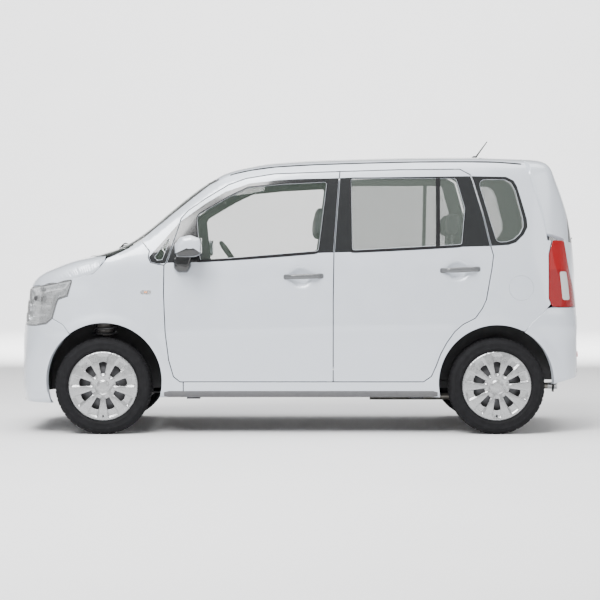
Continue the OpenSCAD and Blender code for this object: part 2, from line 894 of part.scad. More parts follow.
module floor_pan() {
    color([0.16, 0.16, 0.17])
        difference() {
            union() {
                difference() {
                    intersection() {
                        floor_plates();
                        inner_plan();
                    }
                    arch_cylinders(1);
                    block([firewall_x - 20, fx(480) - sheet_t], [-fy(75) + sheet_t, fy(75) - sheet_t],
                          [0, floor_z + 45 - sheet_t]);
                }
                front_rails();
                for (s = side_signs) {
                    intersection() {
                        union() {
                            wheelhouse(front_arch, front_house_y, front_arch[1] - 60, s);
                            wheelhouse(rear_arch, rear_house_y, tank_top - 1, s);
                        }
                        inner_plan();
                    }
                    towers(s);
                    rails_and_pads(s);
                }
                along_column()
                    translate([0, 0, -595])
                        cylinder(r = 24, h = 495);
            }
            for (s = side_signs)
                tower_rooms(s);
            translate([eye_x - 10, eye_y, eye_z])
                rotate([0, 90, 0])
                    cylinder(r = eye_r, h = 60);
            along_column()
                translate([0, 0, -310])
                    cylinder(r = column_r + fit_gap, h = 340);
        }
}

module engine() {
    color([0.35, 0.35, 0.36])
        block([fx(-1480), fx(-1000)], [-290, 290], [fz(300), fz(860)]);
}

lower_arm_z = fz(205);

module front_subframe() {
    color([0.14, 0.14, 0.15])
        union() {
            block([fx(-1090), fx(-940)], [-front_house_y + 40, front_house_y - 40],
                  [lower_arm_z - 20, lower_arm_z + 24]);
            for (s = side_signs) {
                block([-axle_x - 25, -axle_x + 25], s > 0 ? [front_house_y - 80, kingpin_y + 20]
                      : [-kingpin_y - 20, -front_house_y + 80], [lower_arm_z - 12, lower_arm_z + 12]);
                block([-axle_x - 25, fx(-940)], s > 0 ? [front_house_y - 80, front_house_y - 40]
                      : [-front_house_y + 40, -front_house_y + 80], [lower_arm_z - 12, lower_arm_z + 12]);
                translate([-axle_x, s * kingpin_y, lower_arm_z])
                    cylinder(r = 12, h = 30);
                block([fx(-1000), fx(-940)], s > 0 ? [200, 260] : [-260, -200],
                      [lower_arm_z + 23, fz(390)]);
                block([fx(-1000), fx(-940)], s > 0 ? [200, 330] : [-330, -200],
                      [fz(330), fz(390)]);
            }
        }
}

// Knuckle on the steering axis. Its damper passes inboard of the tyre, under the spring.
damper_in = 34;
damper_r = 18;
spring_low = axle_z + tyre_r + 12;

module knuckle(s) {
    color([0.30, 0.30, 0.31])
        translate([-axle_x, s * kingpin_y, 0])
            difference() {
                union() {
                    translate([0, 0, lower_arm_z + 14])
                        cylinder(r = 24, h = axle_z + 120 - lower_arm_z - 14);
                    block([-15, 15], s > 0 ? [-damper_in, 0] : [0, damper_in],
                          [axle_z + 60, axle_z + 115]);
                    translate([0, -s * damper_in, axle_z + 50])
                        cylinder(r = damper_r, h = spring_low + 5 - axle_z - 50);
                    translate([0, 0, spring_low])
                        cylinder(r = 48, h = strut_top - fit_gap - spring_low);
                    translate([0, 0, axle_z])
                        rotate([-90 * s, 0, 0]) {
                            cylinder(r = 44, h = kingpin_inset - 50);
                            cylinder(r = hub_r, h = kingpin_inset + 20);
                        }
                }
                translate([0, 0, lower_arm_z + 13])
                    cylinder(r = 12 + fit_gap, h = 17 + fit_gap);
            }
}

module knuckle_left() knuckle(-1);
module knuckle_right() knuckle(1);

module rear_axle() {
    color([0.14, 0.14, 0.15])
        union() {
            translate([axle_x - 60, rear_house_y - 40, axle_z])
                rotate([90, 0, 0])
                    cylinder(r = 24, h = 2 * rear_house_y - 80);
            for (s = side_signs) {
                block([fx(840) + fit_gap, axle_x + 20], s > 0 ? [rear_house_y - 90, rear_house_y - 40]
                      : [-rear_house_y + 40, -rear_house_y + 90], [axle_z - 25, axle_z + 20]);
                translate([axle_x, s * (rear_house_y - 60), axle_z])
                    rotate([-90 * s, 0, 0])
                        cylinder(r = hub_r, h = wheel_y - rear_house_y + 80);
                translate([axle_x, s * (rear_house_y + 4), axle_z])
                    rotate([-90 * s, 0, 0])
                        cylinder(r = 44, h = wheel_y - rear_house_y - 54);
                translate([axle_x - 60, s * (rear_house_y - 75), axle_z])
                    cylinder(r = 46, h = fz(400) - axle_z - fit_gap);
            }
        }
}

module fuel_tank() {
    color([0.10, 0.10, 0.11])
        block([fx(490), fx(790)], [-fy(320), fy(440)], [fz(208), tank_top - fit_gap]);
}

// Pipe along the tunnel, silencer across the tail and tailpipe.
pipe_r = 22;
tailpipe_r = 20;
pipe_z = floor_z - 10;
rear_pipe_z = pipe_z - 45;

module pipe(x0, x1, y, z, r)
    translate([x0, y, z])
        rotate([0, 90, 0])
            cylinder(r = r, h = x1 - x0);

module exhaust() {
    color([0.50, 0.50, 0.50])
        union() {
            pipe(fx(-940), fx(460), 0, pipe_z, pipe_r);
            pipe(fx(440), fx(1440), 0, rear_pipe_z, pipe_r);
            translate([fx(450), 0, rear_pipe_z])
                cylinder(r = pipe_r, h = pipe_z - rear_pipe_z);
            translate([fx(1440), -fy(260), fz(240)])
                rotate([-90, 0, 0])
                    cylinder(r = 70, h = fy(520));
            pipe(fx(1440), fx(1650), fy(200), fz(235), tailpipe_r);
            for (y = [-fy(200), fy(150)])
                block([fx(1425), fx(1455)], [y, y + 20], [fz(300), tank_top - fit_gap]);
            block([fx(-400), fx(-370)], [-10, 10], [floor_z, floor_z + 45 - sheet_t - fit_gap]);
        }
}

// ---- Cabin ----

steering_middle = [fx(-417), fy(350), fz(1018)];

module dashboard() {
    color([0.18, 0.18, 0.19])
        difference() {
            side_band(-inner_y + fit_gap, inner_y - fit_gap, 1)
                polygon(concat(
                    [[firewall_x + fit_gap, fz(700)], [firewall_x + fit_gap, fz(1035)]],
                    outline([[-800, 1040], [-640, 1010], [-590, 960], [-600, 840], [-680, 700]])));
            along_column()
                translate([0, 0, -600])
                    cylinder(r = 30, h = 560);
        }
}

module steering_wheel() {
    color([0.15, 0.15, 0.16])
        along_column()
            union() {
                rotate_extrude($fn = 72)
                    translate([steering_r - 14, 0])
                        circle(14, $fn = 32);
                translate([0, 0, -40])
                    cylinder(r = 62, h = 55);
                translate([0, 0, -290])
                    cylinder(r = column_r, h = 260);
                for (a = [0, 90, 180])
                    rotate([0, 0, a])
                        translate([0, -15, -8])
                            linear_extrude(14)
                                square([steering_r - 18, 30]);
            }
}

// Seat as one soft solid: side view of cushion and back, extruded across.
module seat(profile, headrest, y0, y1) {
    side_band(y0, y1, 1)
        polygon(profile);
    side_band((y0 + y1) / 2 - 130, (y0 + y1) / 2 + 130, 1)
        polygon(headrest);
}

front_profile = outline([
    [-400, 346], [-430, 420], [-425, 510], [-380, 545], [-120, 515], [-30, 545], [40, 900],
    [66, 1060], [100, 1100], [160, 1092], [178, 1050], [150, 800], [110, 520], [60, 380],
    [20, 346]]);
front_headrest = outline([
    [120, 1080], [104, 1110], [78, 1180], [82, 1310], [108, 1358], [150, 1362], [172, 1310],
    [168, 1180], [160, 1080]]);
module front_seats() {
    color([0.32, 0.33, 0.35])
        for (y = [fy(-350), fy(350)])
            translate([0, 0, seat_rail_top + fit_gap - fz(346)])
                seat(front_profile, front_headrest, y - seat_w / 2, y + seat_w / 2);
}

rear_profile = outline([
    [500, 346], [470, 420], [478, 510], [520, 545], [770, 520], [850, 560], [895, 860],
    [925, 1090], [950, 1120], [1000, 1112], [1020, 1070], [985, 700], [960, 480], [920, 346]]);
rear_headrest = outline([
    [930, 1100], [905, 1150], [892, 1210], [906, 1300], [930, 1328], [975, 1328], [995, 1290],
    [990, 1200], [985, 1100]]);
rear_seat_half = min(rear_house_y - sheet_t - 12, fy(515));
module rear_seat() {
    color([0.32, 0.33, 0.35])
        translate([0, 0, tank_top + sheet_t + fit_gap - fz(346)])
            union() {
                side_band(-rear_seat_half, rear_seat_half, 1)
                    polygon(rear_profile);
                for (y = [fy(-270), fy(270)])
                    side_band(y - 125, y + 125, 1)
                        polygon(rear_headrest);
            }
}

module antenna() {
    color([0.10, 0.10, 0.11])
        translate([fx(1100), 0, fz(lookup(1100, top_line))])
            union() {
                translate([0, 0, 0.3])
                    cylinder(r = 26, h = 9);
                translate([0, 0, 5])
                    rotate([0, 36, 0])
                        cylinder(r = 3, h = 152, $fn = 24);
            }
}

// Blank number plate with its two screw holes, facing along X.
module number_plate(x, z) {
    color([0.92, 0.92, 0.90])
        difference() {
            translate([x, -plate_w / 2, z - plate_h / 2])
                cube([plate_t, plate_w, plate_h]);
            plate_holes(x - 1, x + plate_t + 1, z);
        }
}

module front_plate() number_plate(front_plate_x, front_plate_z);
module rear_plate() number_plate(rear_plate_x, rear_plate_z);

// ---- Wheels ----

rim_w = 126;
module tyre(x, s) {
    half = tyre_w / 2;
    color([0.07, 0.07, 0.07])
        translate([x, s * wheel_y, axle_z])
            rotate([90, 0, 0])
                rotate_extrude($fn = 128)
                    polygon([
                        [rim_r + fit_gap, -rim_w / 2 + 4], [rim_r + 12, -rim_w / 2 - 6],
                        [rim_r + 40, -half + 3], [rim_r + 62, -half], [tyre_r - 26, -half + 3],
                        [tyre_r - 10, -half + 12], [tyre_r - 2, -half + 26], [tyre_r, -half + 44],
                        [tyre_r, half - 44], [tyre_r - 2, half - 26], [tyre_r - 10, half - 12],
                        [tyre_r - 26, half - 3], [rim_r + 62, half], [rim_r + 40, half - 3],
                        [rim_r + 12, rim_w / 2 + 6], [rim_r + fit_gap, rim_w / 2 - 4]]);
}

module wheel(x, s) {
    color([0.75, 0.76, 0.77])
        translate([x, s * wheel_y, axle_z])
            rotate([-90 * s, 0, 0])
                difference() {
                    union() {
                        rotate_extrude($fn = 96)
                            polygon([
                                [rim_r - 12, -rim_w / 2], [rim_r, -rim_w / 2], [rim_r, rim_w / 2 - 2],
                                [rim_r + 6, rim_w / 2 + 8], [rim_r - 4, rim_w / 2 + 8],
                                [rim_r - 12, rim_w / 2]]);
                        translate([0, 0, rim_w / 2 - 18])
                            cylinder(r = rim_r - 11, h = 20, $fn = 96);
                        translate([0, 0, -15])
                            cylinder(r = 70, h = rim_w / 2 + 10);
                        translate([0, 0, rim_w / 2])
                            cylinder(r1 = 44, r2 = 34, h = 14);
                    }
                    for (i = [0:cover_openings - 1])
                        rotate([0, 0, 90 + i * 360 / cover_openings])
                            translate([0, 0, rim_w / 2 - 40])
                                linear_extrude(60)
                                    polygon([[78, -7], [78, 7], [rim_r - 44, 24], [rim_r - 44, -24]]);
                    translate([0, 0, -30])
                        cylinder(r = hub_r + fit_gap, h = 52);
                }
}

module tyre_front_left() tyre(-axle_x, -1);
module tyre_front_right() tyre(-axle_x, 1);
module tyre_rear_left() tyre(axle_x, -1);
module tyre_rear_right() tyre(axle_x, 1);
module wheel_front_left() wheel(-axle_x, -1);
module wheel_front_right() wheel(-axle_x, 1);
module wheel_rear_left() wheel(axle_x, -1);
module wheel_rear_right() wheel(axle_x, 1);
module mirror_left() door_mirror(-1);
module mirror_right() door_mirror(1);

floor_pan();
body_side_left();
body_side_right();
roof();
front_fenders();
cowl();
windscreen();
quarter_windows();
front_bumper();
grille();
headlamps();
tail_lamps();
rear_bumper();
front_plate();
rear_plate();
antenna();
engine();
front_subframe();
rear_axle();
fuel_tank();
exhaust();
dashboard();
front_seats();
rear_seat();
steering_wheel();
bonnet();
tailgate();
tailgate_window();
fuel_flap();
front_door_left();
front_door_right();
rear_door_left();
rear_door_right();
front_window_left();
front_window_right();
rear_window_left();
rear_window_right();
mirror_left();
mirror_right();
knuckle_left();
knuckle_right();
tyre_front_left();
tyre_front_right();
tyre_rear_left();
tyre_rear_right();
wheel_front_left();
wheel_front_right();
wheel_rear_left();
wheel_rear_right();
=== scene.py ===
"""Looks for a small tall hatchback: smooth body panels, glass, lamps, wheels, cabin and underside."""

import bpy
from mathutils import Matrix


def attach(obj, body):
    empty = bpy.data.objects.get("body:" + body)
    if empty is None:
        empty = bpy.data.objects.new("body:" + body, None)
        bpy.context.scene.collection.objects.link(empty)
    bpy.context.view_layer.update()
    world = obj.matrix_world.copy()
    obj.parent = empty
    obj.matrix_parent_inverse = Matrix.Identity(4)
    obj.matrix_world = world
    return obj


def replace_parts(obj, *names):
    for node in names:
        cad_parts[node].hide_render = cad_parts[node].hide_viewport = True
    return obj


bl_info = {
    "name": "Tall Hatchback Maker",
    "version": (1, 0, 0),
    "blender": (4, 5, 0),
    "location": "3D Viewport > Sidebar > Hatchback",
    "description": "Builds the visible panels, wheels and cabin round the packed car",
    "category": "Object",
}

from math import acos, atan2, copysign, cos, exp, hypot, pi, radians, sin, tan

import bmesh
import bpy
from bpy.types import Operator
import numpy as np
from mathutils import Matrix, Vector
from mathutils.bvhtree import BVHTree
from mathutils.geometry import delaunay_2d_cdt

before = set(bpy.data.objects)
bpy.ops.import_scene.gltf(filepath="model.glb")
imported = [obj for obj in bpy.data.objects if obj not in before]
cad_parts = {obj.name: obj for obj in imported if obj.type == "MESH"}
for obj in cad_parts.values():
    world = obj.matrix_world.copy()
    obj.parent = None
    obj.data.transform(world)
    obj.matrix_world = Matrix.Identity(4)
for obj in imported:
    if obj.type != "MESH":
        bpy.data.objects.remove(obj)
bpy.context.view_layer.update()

MM = 0.001
HALF_LENGTH, HALF_WHEELBASE, HALF_TRACK, TYRE_RADIUS = 1697.5, 1175.0, 647.0, 289.0
ARCH_RADIUS = 345
BAND_RADIUS = 16
FLAP_MIDDLE, FLAP_RADIUS = (1322, 874), 72
DOOR_LINING_Y = 618
FLOOR_TOP = 262
SIDES = (-1, 1)
SIDE_NAME = {-1: "left", 1: "right"}

# Lines of the body in millimetres: [x, z] along the middle, the shoulder and the lower edge.
TOP_LINE = [(-1697.5, 560), (-1690, 620), (-1668, 720), (-1645, 860), (-1625, 925), (-1580, 966), (-1485, 1010),
    (-1365, 1052), (-1205, 1086), (-1110, 1115), (-534, 1540), (-450, 1584), (-340, 1613), (-160, 1642),
    (250, 1664), (880, 1677), (1090, 1677), (1285, 1671), (1430, 1665), (1480, 1657), (1515, 1635), (1550, 1560),
    (1598, 1440), (1638, 1310), (1660, 1190), (1672, 1070), (1678, 960), (1682, 720), (1690, 660), (1697.5, 560)]
SHOULDER_LINE = [(-1697.5, 500), (-1668, 620), (-1645, 740), (-1580, 850), (-1485, 900), (-1365, 950),
    (-1205, 1000), (-1110, 1030), (-800, 1045), (1550, 1045), (1640, 1000), (1672, 900), (1682, 620), (1697.5, 500)]
BOTTOM_LINE = [(-1697.5, 225), (-1670, 195), (-1620, 178), (-1500, 182), (-1300, 214), (1300, 214), (1450, 290),
    (1680, 305), (1697.5, 350)]
WAIST_PLAN = [(-1697.5, 330), (-1690, 430), (-1668, 540), (-1645, 600), (-1600, 655), (-1540, 695), (-1450, 722),
    (-1300, 735), (-1110, 737.5), (1200, 737.5), (1400, 728), (1500, 710), (1580, 680), (1640, 630), (1670, 570),
    (1685, 500), (1697.5, 380)]
SHOULDER_PLAN = [(-1697.5, 320), (-1668, 500), (-1645, 545), (-1600, 600), (-1540, 640), (-1450, 668), (-1300, 685),
    (-1110, 694), (-800, 698), (1100, 698), (1300, 688), (1450, 662), (1550, 620), (1600, 585), (1640, 530),
    (1665, 470), (1697.5, 340)]
CABIN_CURVE = [(0.877, 0.791), (0.865, 0.842), (0.838, 0.897), (0.781, 0.941), (0.673, 0.967), (0.430, 0.992),
    (0.0, 1.0)]
NOSE_CURVE = [(0.985, 0.35), (0.955, 0.58), (0.910, 0.72), (0.830, 0.83), (0.680, 0.92), (0.400, 0.98), (0.0, 1.0)]
FRONT_ARCH, REAR_ARCH = (-1172, 319, ARCH_RADIUS), (1176, 306, ARCH_RADIUS)
ARCHES = (FRONT_ARCH, REAR_ARCH)
CREASE = [(-1300, 560), (-745, 607), (-299, 616), (195, 636), (772, 648), (1300, 655)]


# ---- Curves and the smooth body surface ----

def smooth_curve(xs, ys):
    """Monotone cubic curve through the points."""
    xs, ys = np.asarray(xs, float), np.asarray(ys, float)
    h = np.diff(xs)
    d = np.diff(ys) / h
    m = np.zeros(len(xs))
    same = d[:-1] * d[1:] > 0
    safe = np.where(same, d[:-1], 1.0), np.where(same, d[1:], 1.0)
    w1, w2 = 2 * h[1:] + h[:-1], h[1:] + 2 * h[:-1]
    m[1:-1] = np.where(same, (w1 + w2) / (w1 / safe[0] + w2 / safe[1]), 0.0)
    m[0], m[-1] = d[0], d[-1]

    def at(x):
        x = np.clip(x, xs[0], xs[-1])
        i = np.clip(np.searchsorted(xs, x) - 1, 0, len(h) - 1)
        t = (x - xs[i]) / h[i]
        return (ys[i] * (1 + 2 * t) * (1 - t) ** 2 + m[i] * h[i] * t * (1 - t) ** 2
                + ys[i + 1] * t * t * (3 - 2 * t) + m[i + 1] * h[i] * t * t * (t - 1))
    return at


def along(table):
    """Curve of a body line, taken by the angle at which a round nose would meet x."""
    xs = np.arcsin(np.array([p[0] for p in table]) / 1698.0)
    curve = smooth_curve(xs, [p[1] for p in table])
    return lambda x: curve(np.arcsin(np.clip(x, -HALF_LENGTH, HALF_LENGTH) / 1698.0))


def soft_step(v):
    v = np.clip(v, 0.0, 1.0)
    return v * v * (3 - 2 * v)


def ease(v):
    """Soft step of one number."""
    return float(soft_step(v))


def flare_and_crease(x, z):
    """How far the side stands out of its plain surface, in millimetres."""
    out = -7.0 * soft_step((z - 180) / 80) * soft_step((1040 - z) / 160)
    for cx, cz, r in ARCHES:
        d = np.hypot(x - cx, z - cz) - r
        out = np.maximum(out, out + 7.0 * (1 - soft_step((d - 6) / 62)))
    line = np.interp(x, [p[0] for p in CREASE], [p[1] for p in CREASE])
    below = line - z
    fade = soft_step((x + 860) / 120) * soft_step((980 - x) / 160)
    out = out - 6.0 * fade * (below > 0) * (1 - np.exp(-below.clip(0) / 14)) * np.exp(-below.clip(0) / 190)
    return out


def body_grid():
    """Points of the left half of the body: rows along x, columns from the sill to the roof."""
    angles = np.radians(np.linspace(-88.6, 88.6, 560))
    xs = np.sin(angles) * 1698.0
    xs[0], xs[-1] = -HALF_LENGTH, HALF_LENGTH
    top, low = along(TOP_LINE)(xs), along(BOTTOM_LINE)(xs)
    belt, wide = along(SHOULDER_LINE)(xs), along(WAIST_PLAN)(xs)
    half = along(SHOULDER_PLAN)(xs)
    share = np.clip((top - belt - 120) / 450, 0, 1)
    cols = np.linspace(0, 12, 12 * 15 + 1)
    grid = np.zeros((len(xs), len(cols), 3))
    for i, x in enumerate(xs):
        lo, be, wi, ha, to, k = low[i], belt[i], wide[i], half[i], top[i], share[i]
        pts = [(wi - 60, lo), (wi - 20, lo + 35), (wi - 7, lo + 0.3 * (be - lo)), (wi, lo + 0.5 * (be - lo)),
            (wi + (ha - wi) * 0.4, lo + 0.78 * (be - lo)), (ha, be)]
        for a, b in zip(NOSE_CURVE, CABIN_CURVE):
            c = (a[0] + (b[0] - a[0]) * k, a[1] + (b[1] - a[1]) * k)
            pts.append((ha * c[0], be + (to - be) * c[1]))
        pts.append((-pts[-2][0], pts[-2][1]))
        pts = np.array(pts)
        run = np.concatenate([[0], np.cumsum(np.hypot(*np.diff(pts, axis=0).T))])
        t = np.interp(cols, np.arange(14), run)
        y = smooth_curve(run, pts[:, 0])(t)
        z = smooth_curve(run, pts[:, 1])(t)
        grid[i, :, 0] = x
        grid[i, :, 1] = -np.maximum(y, 0)
        grid[i, :, 2] = z
    fade = soft_step((1698 - np.abs(grid[:, :, 0])) / 260) * soft_step((-grid[:, :, 1] - 450) / 150)
    grid[:, :, 1] -= flare_and_crease(grid[:, :, 0], grid[:, :, 2]) * fade
    ends = [grid[:1].copy(), grid[-1:].copy()]
    for e in ends:
        e[:, :, 1] = 0
    return np.concatenate([ends[0], grid, ends[1]])


def body_tree():
    g = body_grid()
    n, m = g.shape[:2]
    idx = np.arange(n * m).reshape(n, m)
    quads = np.stack([idx[:-1, :-1], idx[:-1, 1:], idx[1:, 1:], idx[1:, :-1]], -1).reshape(-1, 4)
    return BVHTree.FromPolygons([tuple(v) for v in g.reshape(-1, 3)], [tuple(q) for q in quads])


BODY = body_tree()


def hit(start, way):
    """Point of the body met from start along way, on the side that start lies on."""
    flip = start[1] > 0 or (start[1] == 0 and way[1] > 0)
    s = Vector((start[0], -start[1] if flip else start[1], start[2]))
    w = Vector((way[0], -way[1] if flip else way[1], way[2]))
    p = BODY.ray_cast(s, w)[0]
    if p is None:
        reach = s + w.normalized() * 600
        p = BODY.find_nearest(reach)[0]
    return Vector((p.x, -p.y if flip else p.y, p.z))


def side_point(x, z):
    return hit((x, -1200, z), (0, 1, 0))


def end_point(y, z, sign):
    """Point on the front (sign -1) or rear (sign 1) face; under the face, the one nearest to it."""
    p = hit((2400 * sign, y if y else -0.01, z), (-sign, 0, 0))
    if p.x * sign < 0:
        p = BODY.find_nearest(Vector((1700 * sign, -abs(y), z)))[0]
    return Vector((p.x, copysign(p.y, y), z))


def front_point(y, z):
    return end_point(y, z, -1)


def rear_point(y, z):
    return end_point(y, z, 1)


def top_point(x, y):
    return hit((x, y if y else -0.01, 2600), (0, 0, -1))


class SideMap:
    """Flat map of a left side panel: x and z, with depth towards the middle."""

    def flat(self, p):
        return (p[0], p[2])

    def lift(self, u, v, depth):
        p = side_point(u, v)
        return Vector((u, p.y + depth, v))


class TopMap:
    """Flat map seen from above: x and y, with depth downwards."""

    def flat(self, p):
        return (p[0], p[1])

    def lift(self, u, v, depth):
        p = top_point(u, v)
        return Vector((u, v, p.z - depth))


class WrapMap:
    """Map that wraps round an end: the angle about an upright axis, and z."""

    def __init__(self, x, sign, radius=700.0):
        self.x, self.sign, self.radius = x, sign, radius

    def flat(self, p):
        return (atan2(p[1], self.sign * (p[0] - self.x)) * self.radius, p[2])

    def lift(self, u, v, depth):
        a = u / self.radius
        way = Vector((self.sign * cos(a), sin(a), 0))
        p = hit((self.x, copysign(1e-3, a), v), way)
        return Vector((p.x, p.y, v)) - way * depth


class FanMap:
    """Map that rolls over an edge: y, and the angle about a level axis."""

    def __init__(self, x, z, radius):
        self.x, self.z, self.radius = x, z, radius

    def flat(self, p):
        return (p[1], atan2(p[2] - self.z, p[0] - self.x) * self.radius)

    def lift(self, u, v, depth):
        a = v / self.radius
        way = Vector((cos(a), 0, sin(a)))
        p = hit((self.x, u if u else -0.01, self.z), way)
        return p - way * depth


SIDE_MAP = SideMap()
TOP_MAP = TopMap()
NOSE_MAP = WrapMap(-1250, -1)
TAIL_MAP = WrapMap(1250, 1)
GATE_MAP = FanMap(1050, 1150, 600.0)
BONNET_MAP = FanMap(-1200, 700, 430.0)


# ---- Flat outlines ----

def turn_of(pts):
    a = np.asarray(pts)
    b = np.roll(a, -1, axis=0)
    return float(np.sum(a[:, 0] * b[:, 1] - b[:, 0] * a[:, 1]))


def inset(pts, gap):
    """Outline moved inwards by gap."""
    pts = np.asarray(pts, float)
    sign = 1.0 if turn_of(pts) > 0 else -1.0
    before, after = pts - np.roll(pts, 1, axis=0), np.roll(pts, -1, axis=0) - pts
    n1 = np.stack([-before[:, 1], before[:, 0]], 1) * sign
    n2 = np.stack([-after[:, 1], after[:, 0]], 1) * sign
    n1 /= np.linalg.norm(n1, axis=1)[:, None]
    n2 /= np.linalg.norm(n2, axis=1)[:, None]
    bis = n1 + n2
    bis /= np.maximum((bis * bis).sum(1), 0.5)[:, None] / 2
    return [tuple(p) for p in pts + bis * gap]


def rounded(pts, radius, steps=5):
    """Outline with round corners; radius is a number or one per corner."""
    out = []
    n = len(pts)
    for i in range(n):
        r = radius[i] if isinstance(radius, (list, tuple)) else radius
        p = np.array(pts[i], float)
        a, b = np.array(pts[i - 1], float) - p, np.array(pts[(i + 1) % n], float) - p
        la, lb = np.linalg.norm(a), np.linalg.norm(b)
        a, b = a / la, b / lb
        cosine = float(np.clip(a @ b, -1, 1))
        corner = acos(cosine)
        if r <= 0 or corner > radians(172):
            out.append(tuple(p))
            continue
        cut = min(r / tan(corner / 2), 0.45 * la, 0.45 * lb)
        for k in range(steps + 1):
            t = k / steps
            q = p + a * cut * (1 - t) ** 2 + b * cut * t ** 2
            out.append(tuple(q))
    return out


def spaced(pts, step):
    """Outline with a point at least every step."""
    out = []
    for i, p in enumerate(pts):
        q = pts[(i + 1) % len(pts)]
        n = max(1, int(hypot(q[0] - p[0], q[1] - p[1]) / step + 0.5))
        out += [(p[0] + (q[0] - p[0]) * k / n, p[1] + (q[1] - p[1]) * k / n) for k in range(n)]
    return out


def arc(cx, cz, r, x0, z0, x1, z1, turn, n=40):
    """Points on a circle from one place to another; turn is 1 for anticlockwise."""
    a0, a1 = atan2(z0 - cz, x0 - cx), atan2(z1 - cz, x1 - cx)
    while turn > 0 and a1 < a0:
        a1 += 2 * pi
    while turn < 0 and a1 > a0:
        a1 -= 2 * pi
    return [(cx + r * cos(a0 + (a1 - a0) * k / n), cz + r * sin(a0 + (a1 - a0) * k / n)) for k in range(n + 1)]


def circle(cx, cy, r, n=48):
    return [(cx + r * cos(2 * pi * k / n), cy + r * sin(2 * pi * k / n)) for k in range(n)]


def inside(points, poly):
    x, y = points[:, 0], points[:, 1]
    res = np.zeros(len(points), bool)
    px, py = np.array(poly).T
    qx, qy = np.roll(px, -1), np.roll(py, -1)
    for ax, ay, bx, by in zip(px, py, qx, qy):
        if ay == by:
            continue
        cross = (ay > y) != (by > y)
        res ^= cross & (x < (bx - ax) * (y - ay) / (by - ay) + ax)
    return res


def border_distance(points, polys):
    best = np.full(len(points), 1e9)
    for poly in polys:
        a = np.array(poly)
        b = np.roll(a, -1, axis=0)
        for p, q in zip(a, b):
            d = q - p
            t = np.clip(((points - p) @ d) / max(d @ d, 1e-9), 0, 1)
            best = np.minimum(best, np.hypot(*(points - p - t[:, None] * d).T))
    return best


def flat_mesh(outline, holes, inlays, step, edge_step):
    """Triangles that fill an outline, with edges along every hole and inlay."""
    loops = [spaced(outline, edge_step)] + [spaced(h, edge_step) for h in holes]
    loops += [spaced(p, edge_step) for p, _ in inlays]
    verts, edges = [], []
    for loop in loops:
        base = len(verts)
        verts += loop
        edges += [(base + k, base + (k + 1) % len(loop)) for k in range(len(loop))]
    o = np.array(outline)
    (x0, y0), (x1, y1) = o.min(0), o.max(0)
    gx, gy = np.meshgrid(np.arange(x0 + step / 2, x1, step), np.arange(y0 + step / 2, y1, step * 0.9))
    gx = gx + (np.arange(gx.shape[0]) % 2)[:, None] * step / 2
    pts = np.stack([gx.ravel(), gy.ravel()], 1)
    pts = pts[inside(pts, outline)]
    pts = pts[border_distance(pts, [outline] + list(holes) + [p for p, _ in inlays]) > 0.45 * min(step, 12)]
    verts += [tuple(p) for p in pts]
    vo, _, fo, _, _, _ = delaunay_2d_cdt([Vector(v) for v in verts], edges, [], 0, 1e-4)
    vo = np.array([tuple(v) for v in vo])
    fo = np.array([f for f in fo if len(f) == 3])
    mid = vo[fo].mean(1)
    keep = inside(mid, outline)
    for h in holes:
        keep &= ~inside(mid, h)
    fo, mid = fo[keep], mid[keep]
    a, b, c = vo[fo[:, 0]], vo[fo[:, 1]], vo[fo[:, 2]]
    area = (b[:, 0] - a[:, 0]) * (c[:, 1] - a[:, 1]) - (b[:, 1] - a[:, 1]) * (c[:, 0] - a[:, 0])
    fo[area < 0] = fo[area < 0][:, ::-1]
    fo, mid = fo[np.abs(area) > 1e-7], mid[np.abs(area) > 1e-7]
    kind = np.zeros(len(fo), int)
    for poly, k in inlays:
        kind[inside(mid, poly)] = k
    used, inverse = np.unique(fo, return_inverse=True)
    return vo[used], inverse.reshape(-1, 3), kind


def border_loops(faces):
    """Closed loops of the edges that only one triangle has, in face order."""
    nxt = {}
    seen = set()
    for f in faces:
        for k in range(3):
            seen.add((int(f[k]), int(f[(k + 1) % 3])))
    for a, b in seen:
        if (b, a) not in seen:
            nxt.setdefault(a, []).append(b)
    loops = []
    while nxt:
        start = next(iter(nxt))
        loop, at = [], start
        while at in nxt:
            loop.append(at)
            b = nxt[at].pop()
            if not nxt[at]:
                del nxt[at]
            at = b
        if len(loop) > 2:
            loops.append(loop)
    return loops


# ---- Meshes ----

def new_piece(name, verts, faces, mats, kinds=None, normals=None, body="body", smooth=True, scale=MM):
    """Object from points in millimetres, riding on a body."""
    me = bpy.data.meshes.new(name)
    me.from_pydata([(v[0] * scale, v[1] * scale, v[2] * scale) for v in verts], [], [tuple(f) for f in faces])
    for m in mats:
        me.materials.append(m)
    if kinds is not None:
        me.polygons.foreach_set("material_index", np.asarray(kinds, np.int32))
    me.polygons.foreach_set("use_smooth", [smooth] * len(me.polygons))
    me.update()
    if normals is not None:
        me.normals_split_custom_set(normals)
    obj = bpy.data.objects.new(name, me)
    bpy.context.scene.collection.objects.link(obj)
    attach(obj, body)
    return obj


def triangle_normals(verts, faces):
    a, b, c = verts[faces[:, 0]], verts[faces[:, 1]], verts[faces[:, 2]]
    n = np.cross(b - a, c - a)
    out = np.zeros_like(verts)
    for k in range(3):
        np.add.at(out, faces[:, k], n)
    return out / np.maximum(np.linalg.norm(out, axis=1), 1e-12)[:, None]


